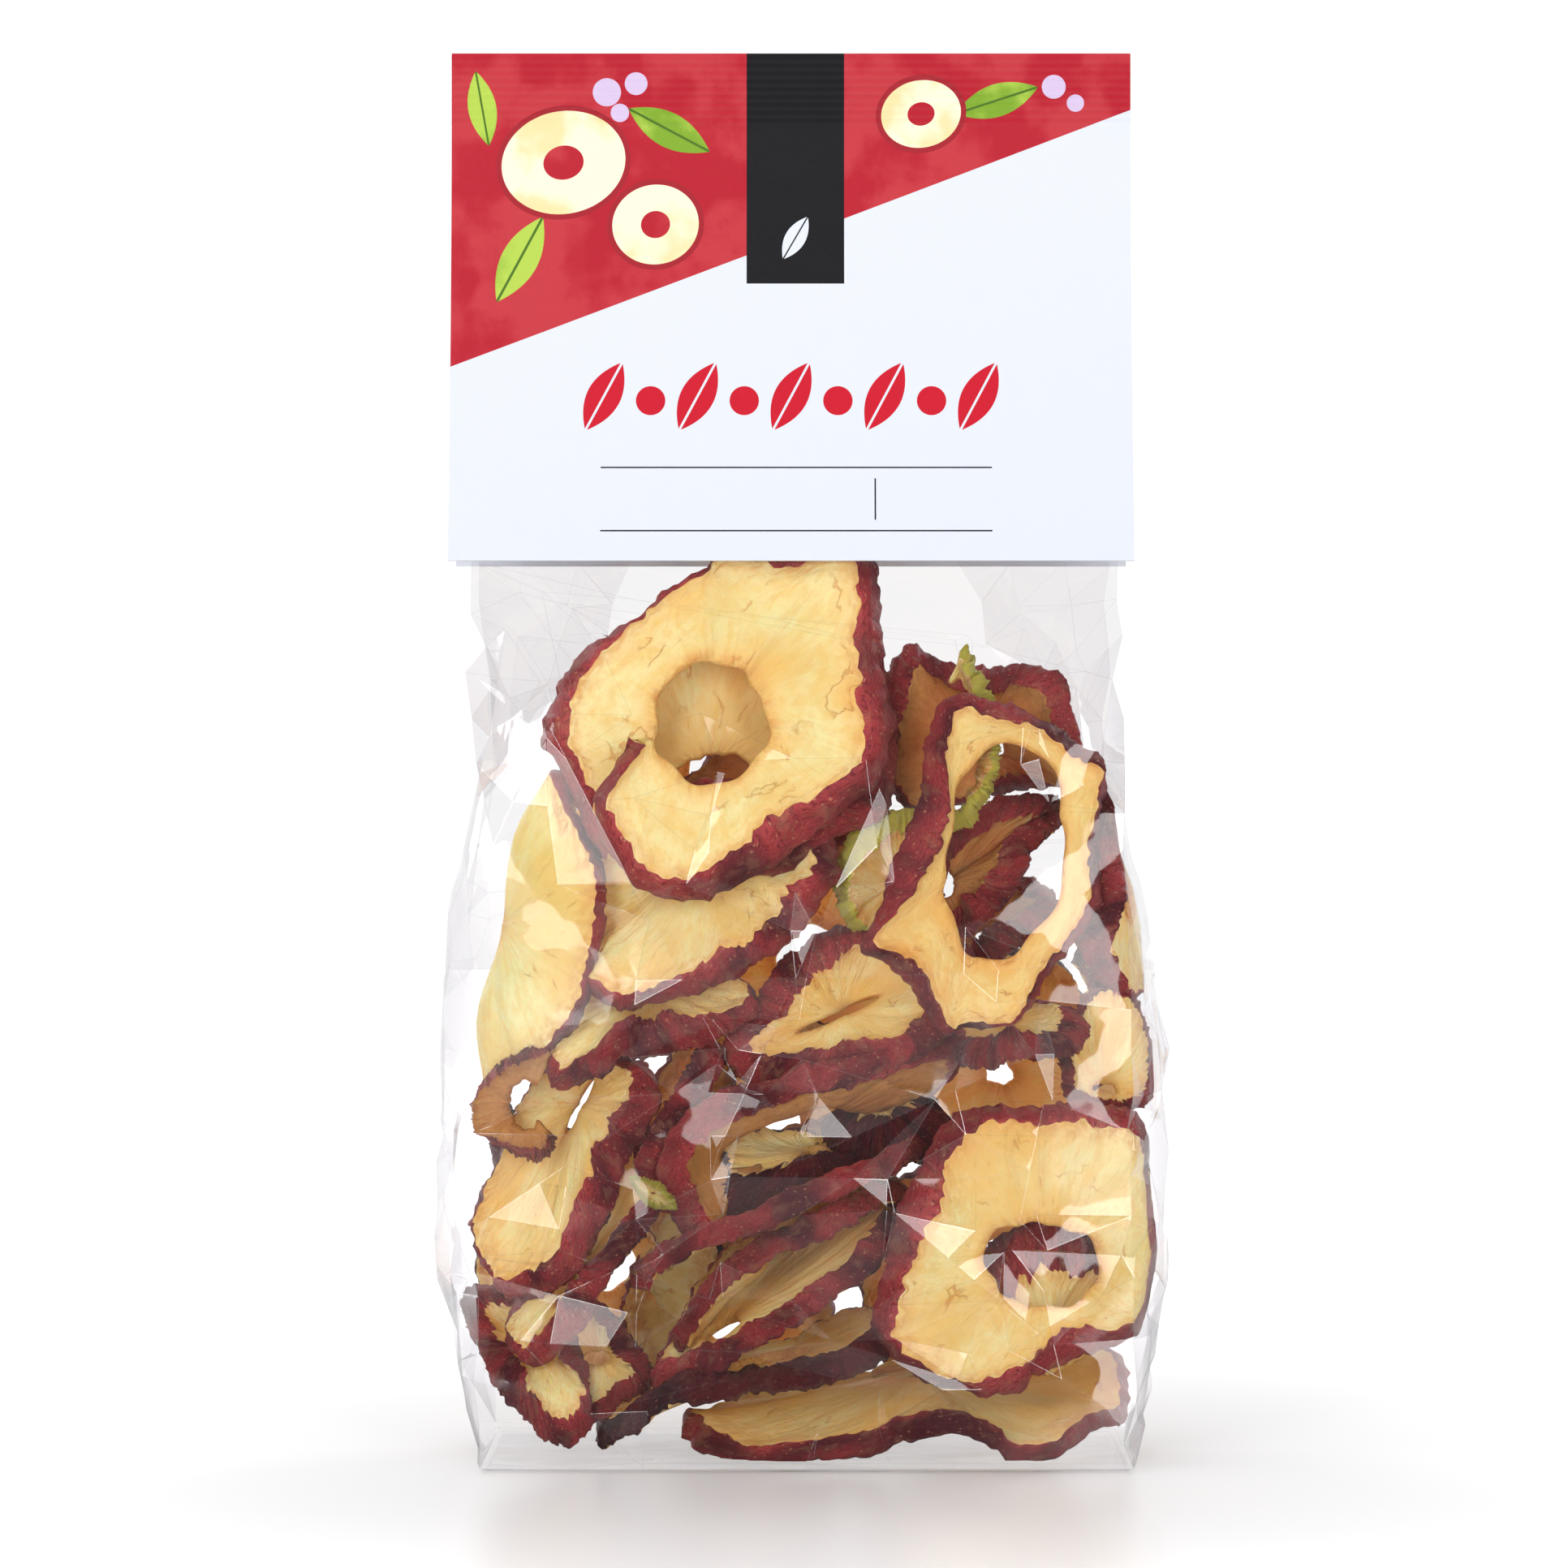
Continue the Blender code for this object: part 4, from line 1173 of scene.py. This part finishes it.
def film_look(name, mirrors_at_least, haziness, face_on_tint, edge_on_tint):
    """Clear film, from its least share of mirroring, its haze and its two tints."""
    made, tree, shader = new_material(name)
    place = node(tree, "ShaderNodeTexCoord").outputs["Object"]
    ripples = noise(tree, place, RIPPLE_FINENESS, detail=2.0)
    bump_settings = {"Height": ripples, "Strength": RIPPLE_BUMP, "Distance": RIPPLE_DEPTH}
    bump = node(tree, "ShaderNodeBump", bump_settings).outputs["Normal"]
    turned_away = node(tree, "ShaderNodeLayerWeight", {"Blend": 0.5, "Normal": bump}).outputs["Facing"]
    steeply = calculate(tree, "POWER", turned_away, EDGE_ON_POWER)
    mirrored = calculate(tree, "MULTIPLY_ADD", steeply, MIRRORS_EDGE_ON, mirrors_at_least)
    to_a_light = node(tree, "ShaderNodeLightPath").outputs["Is Shadow Ray"]
    mirrored = times(tree, mirrored, rescale(tree, to_a_light, 0.0, 1.0, 1.0, MIRRORED_FROM_A_LIGHT))
    tint = blend(tree, rescale(tree, turned_away, TINT_FROM, TINT_FULL), face_on_tint, edge_on_tint)
    tint = blend(tree, to_a_light, tint, LIGHT_LET_IN)
    clear = node(tree, "ShaderNodeBsdfTransparent", {"Color": tint}).outputs["BSDF"]
    gloss_settings = {"Color": MIRROR_WHITE, "Roughness": FILM_ROUGHNESS, "Normal": bump}
    gloss = node(tree, "ShaderNodeBsdfAnisotropic", gloss_settings).outputs["BSDF"]
    cloudy = node(tree, "ShaderNodeBsdfDiffuse", {"Color": CLOUDY_WHITE}).outputs["BSDF"]
    haze = times(tree, mottled(tree, place, fineness=46.0, detail=3.0, low=0.45, high=0.75), haziness)
    body = node(tree, "ShaderNodeMixShader", {0: haze, 1: clear, 2: cloudy}).outputs["Shader"]
    whole = node(tree, "ShaderNodeMixShader", {0: mirrored, 1: body, 2: gloss}).outputs["Shader"]
    feed(tree, tree.nodes["Material Output"], {"Surface": whole})
    tree.nodes.remove(shader)
    return made


clear_film = film_look("clear_film", 0.045, 0.007, *opaque((0.985, 0.98, 0.983), (0.86, 0.845, 0.865)))
film_crease = film_look("film_crease", 0.13, 0.016, *opaque((0.965, 0.96, 0.967), (0.72, 0.70, 0.74)))

film = make_film(clear_film, film_crease)
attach(film, "root")
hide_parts("bag")
print("film has", len(film.data.polygons), "faces with its creases rounded")

# %% [markdown]
# The card
#
# The card's folded board already has its true form, so only its print is added, in its material. A red field
# lies above a slanting edge, with printed rings, leaves and small fruits on it. A black band hangs from the
# fold, and a row of leaves and berries and a pair of thin rules stand below. Each shape is an oval or a leaf
# worked out from the board's own coordinates, so that its edge stays crisp at any size. The red is mottled
# like a sponged wash. The back carries the same fields, band and rules, without the shapes.

# %% Shapes for the print
VEIN_SHARE = 0.07


def new_print_shape(name, sizes, outputs):
    """A group for a printed shape, with its place taken from the shape's middle and turned level."""
    inputs = {"Place": None, "Across": 0.0, "Up": 0.0, **sizes, "Slope": 0.0}
    group, came, goes = new_group(name, inputs, outputs)
    middle = node(group, "ShaderNodeCombineXYZ", {"X": came["Across"], "Z": came["Up"]}).outputs[0]
    places = {0: came["Place"], 1: middle}
    offset = node(group, "ShaderNodeVectorMath", places, operation="SUBTRACT").outputs[0]
    turned = {"Vector": offset, "Angle": came["Slope"]}
    level = node(group, "ShaderNodeVectorRotate", turned, rotation_type="Y_AXIS").outputs[0]
    parts = node(group, "ShaderNodeSeparateXYZ", {0: level}).outputs
    return group, came, goes, parts["X"], parts["Z"]


oval_sizes = {"Half width": 0.01, "Half height": 0.01}
print_oval, came, goes, x, z = new_print_shape("Print oval", oval_sizes, ["Mask"])
x_share = calculate(print_oval, "DIVIDE", x, came["Half width"])
z_share = calculate(print_oval, "DIVIDE", z, came["Half height"])
squares = [times(print_oval, share, share) for share in (x_share, z_share)]
reach = calculate(print_oval, "SQRT", calculate(print_oval, "ADD", *squares))
feed(print_oval, goes, {"Mask": calculate(print_oval, "LESS_THAN", reach, 1.0)})

leaf_sizes = {"Half length": 0.01, "Half width": 0.004}
print_leaf, came, goes, x, z = new_print_shape("Print leaf", leaf_sizes, ["Mask", "Vein"])
along = calculate(print_leaf, "DIVIDE", x, came["Half length"])
edge = calculate(print_leaf, "SUBTRACT", 1.0, times(print_leaf, along, along))
edge = times(print_leaf, edge, came["Half width"])
aside = calculate(print_leaf, "ABSOLUTE", z)
feed(print_leaf, goes, {
    "Mask": calculate(print_leaf, "LESS_THAN", aside, edge),
    "Vein": calculate(print_leaf, "LESS_THAN", aside, times(print_leaf, came["Half width"], VEIN_SHARE)),
})

# %% The card's colours and places
WHITE, BLACK = opaque((0.68, 0.71, 0.775), (0.012, 0.012, 0.014))
RED, PALE_RED, PRINT_RED = opaque((0.43, 0.016, 0.030), (0.50, 0.040, 0.052), (0.54, 0.012, 0.028))
CREAM, DEEP_CREAM = opaque((0.87, 0.80, 0.60), (0.80, 0.66, 0.34))
RING_SKIN, LILAC = opaque((0.34, 0.02, 0.03), (0.62, 0.50, 0.70))
LEAF_GREEN, LEAF_PALE, LEAF_DARK = opaque((0.20, 0.36, 0.03), (0.42, 0.58, 0.08), (0.07, 0.16, 0.02))
CARD_GLOSS = 0.15
CARD_ROUGHNESS = 0.36
GRAIN_ROUGHNESS = 0.06
GRAIN_BUMP = 0.12
GRAIN_DEPTH = 0.1 * MM

CARD_LOW, CARD_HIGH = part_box("header_card")
CARD_MIDDLE = 0.5 * (CARD_LOW.x + CARD_HIGH.x)
RED_EDGE_AT_LEFT = CARD_LOW.z + 36.0 * MM
RED_EDGE_SLOPE = 0.381
BAND_SIDES = (-10.5 * MM, 7.5 * MM)
BAND_FOOT = CARD_LOW.z + 51.5 * MM
RULE_HALF = 0.14 * MM
RULE_ENDS = (-37.2 * MM, 34.5 * MM)
UPPER_RULE = CARD_LOW.z + 17.3 * MM
LOWER_RULE = CARD_LOW.z + 5.6 * MM
DIVIDER = 13.1 * MM
DIVIDER_GAP = 2.0 * MM

# In mm from the card's middle and hem: across, up, sizes, and a leaf's slope in degrees.
RINGS_PRINTED = [(-42.0, 74.0, 12.5, 10.5), (-25.0, 62.5, 9.0, 8.4), (24.0, 83.0, 8.4, 7.2)]
RING_SLOPE = 12.0
RING_SKIN_WIDTH = 1.0
RING_HOLE_SHARE = 0.30
LEAVES_PRINTED = [
    (-50.0, 56.0, 9.0, 3.4, 62.0), (-22.5, 80.0, 8.5, 3.2, -28.0), (38.0, 85.5, 8.0, 3.0, 18.0),
    (-57.0, 84.0, 7.0, 2.6, 100.0),
]
FRUITS_PRINTED = [
    (-34.0, 87.0, 2.6), (-28.6, 88.6, 2.1), (-31.6, 83.2, 1.7), (48.5, 88.0, 2.2), (52.5, 85.0, 1.6),
]
ROW_PLACES = range(-4, 5)
ROW_STEP = 8.6
ROW_BERRY = (29.7, 2.7, 2.7)
ROW_LEAF = (30.5, 7.2, 3.1, 62.0)
BAND_LEAF = (0.8, 60.0, 4.6, 1.9, 60.0)

# %% Print the card
board, board_tree, board_shader = new_material("printed_card")
card_place = node(board_tree, "ShaderNodeTexCoord").outputs["Object"]
card_x, card_y, card_z = node(board_tree, "ShaderNodeSeparateXYZ", {0: card_place}).outputs


def within(value, low, high):
    """1 where a value lies between two limits."""
    above = calculate(board_tree, "GREATER_THAN", value, low)
    return both(above, calculate(board_tree, "LESS_THAN", value, high))


def both(first, second):
    """A mask of where two masks overlap."""
    return times(board_tree, first, second)


def oval(across, up, half_width, half_height, slope=0.0):
    """An oval's mask."""
    return use_group(
        board_tree, print_oval, Place=card_place, Across=CARD_MIDDLE + across * MM, Up=CARD_LOW.z + up * MM,
        Half_width=half_width * MM, Half_height=half_height * MM, Slope=math.radians(slope),
    )["Mask"]


def leaf(across, up, half_length, half_width, slope):
    """A leaf's mask and its vein's."""
    made = use_group(
        board_tree, print_leaf, Place=card_place, Across=CARD_MIDDLE + across * MM, Up=CARD_LOW.z + up * MM,
        Half_length=half_length * MM, Half_width=half_width * MM, Slope=math.radians(slope),
    )
    return made["Mask"], made["Vein"]


def parted_leaf(*facts):
    """A leaf's mask with its vein left open."""
    shape, vein = leaf(*facts)
    return calculate(board_tree, "SUBTRACT", shape, both(shape, vein))


front = calculate(board_tree, "LESS_THAN", card_y, 0.0)
wash = mottled(board_tree, card_place, fineness=70.0, detail=7.0, low=0.44, high=0.58)
grain = mottled(board_tree, card_place, fineness=900.0, detail=2.0, low=0.3, high=0.7)
from_left = calculate(board_tree, "SUBTRACT", card_x, CARD_LOW.x)
slant = calculate(board_tree, "MULTIPLY_ADD", from_left, RED_EDGE_SLOPE, RED_EDGE_AT_LEFT)
in_red = calculate(board_tree, "GREATER_THAN", card_z, slant)
on_red_front = both(front, in_red)
red_wash = blend(board_tree, wash, RED, PALE_RED)
printed_green = blend(board_tree, wash, LEAF_GREEN, LEAF_PALE)
printed_flesh = blend(board_tree, wash, CREAM, DEEP_CREAM)

layers = [(in_red, red_wash)]
for facts in LEAVES_PRINTED:
    shape, vein = leaf(*facts)
    layers.append((both(on_red_front, shape), blend(board_tree, vein, printed_green, LEAF_DARK)))
for across, up, half_width, half_height in RINGS_PRINTED:
    flesh_width = half_width - RING_SKIN_WIDTH
    flesh_height = half_height - RING_SKIN_WIDTH
    whole_ring = oval(across, up, half_width, half_height, RING_SLOPE)
    flesh = oval(across, up, flesh_width, flesh_height, RING_SLOPE)
    hole = oval(across, up, RING_HOLE_SHARE * half_width, RING_HOLE_SHARE * half_height, RING_SLOPE)
    for shape, colour in ((whole_ring, RING_SKIN), (flesh, printed_flesh), (hole, red_wash)):
        layers.append((both(on_red_front, shape), colour))
for across, up, radius in FRUITS_PRINTED:
    layers.append((both(on_red_front, oval(across, up, radius, radius)), LILAC))
for place in ROW_PLACES:
    shape = oval(place * ROW_STEP, *ROW_BERRY) if place % 2 else parted_leaf(place * ROW_STEP, *ROW_LEAF)
    layers.append((both(front, shape), PRINT_RED))
in_band = both(within(card_x, *BAND_SIDES), calculate(board_tree, "GREATER_THAN", card_z, BAND_FOOT))
layers.append((in_band, BLACK))
layers.append((both(front, parted_leaf(*BAND_LEAF)), WHITE))
between_rules = within(card_x, *RULE_ENDS)
for height in (UPPER_RULE, LOWER_RULE):
    layers.append((both(between_rules, within(card_z, height - RULE_HALF, height + RULE_HALF)), BLACK))
across_divider = within(card_x, DIVIDER - RULE_HALF, DIVIDER + RULE_HALF)
up_divider = within(card_z, LOWER_RULE + DIVIDER_GAP, UPPER_RULE - DIVIDER_GAP)
layers.append((both(across_divider, up_divider), BLACK))

board_bump = {"Height": grain, "Strength": GRAIN_BUMP, "Distance": GRAIN_DEPTH}
feed(board_tree, board_shader, {
    "Base Color": layered(board_tree, WHITE, layers),
    "Roughness": calculate(board_tree, "ADD", times(board_tree, grain, GRAIN_ROUGHNESS), CARD_ROUGHNESS),
    "Normal": node(board_tree, "ShaderNodeBump", board_bump).outputs["Normal"],
    "Specular IOR Level": CARD_GLOSS,
})
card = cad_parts["header_card"]
card.data.materials.clear()
card.data.materials.append(board)
print("card printed with", len(board_tree.nodes), "nodes")
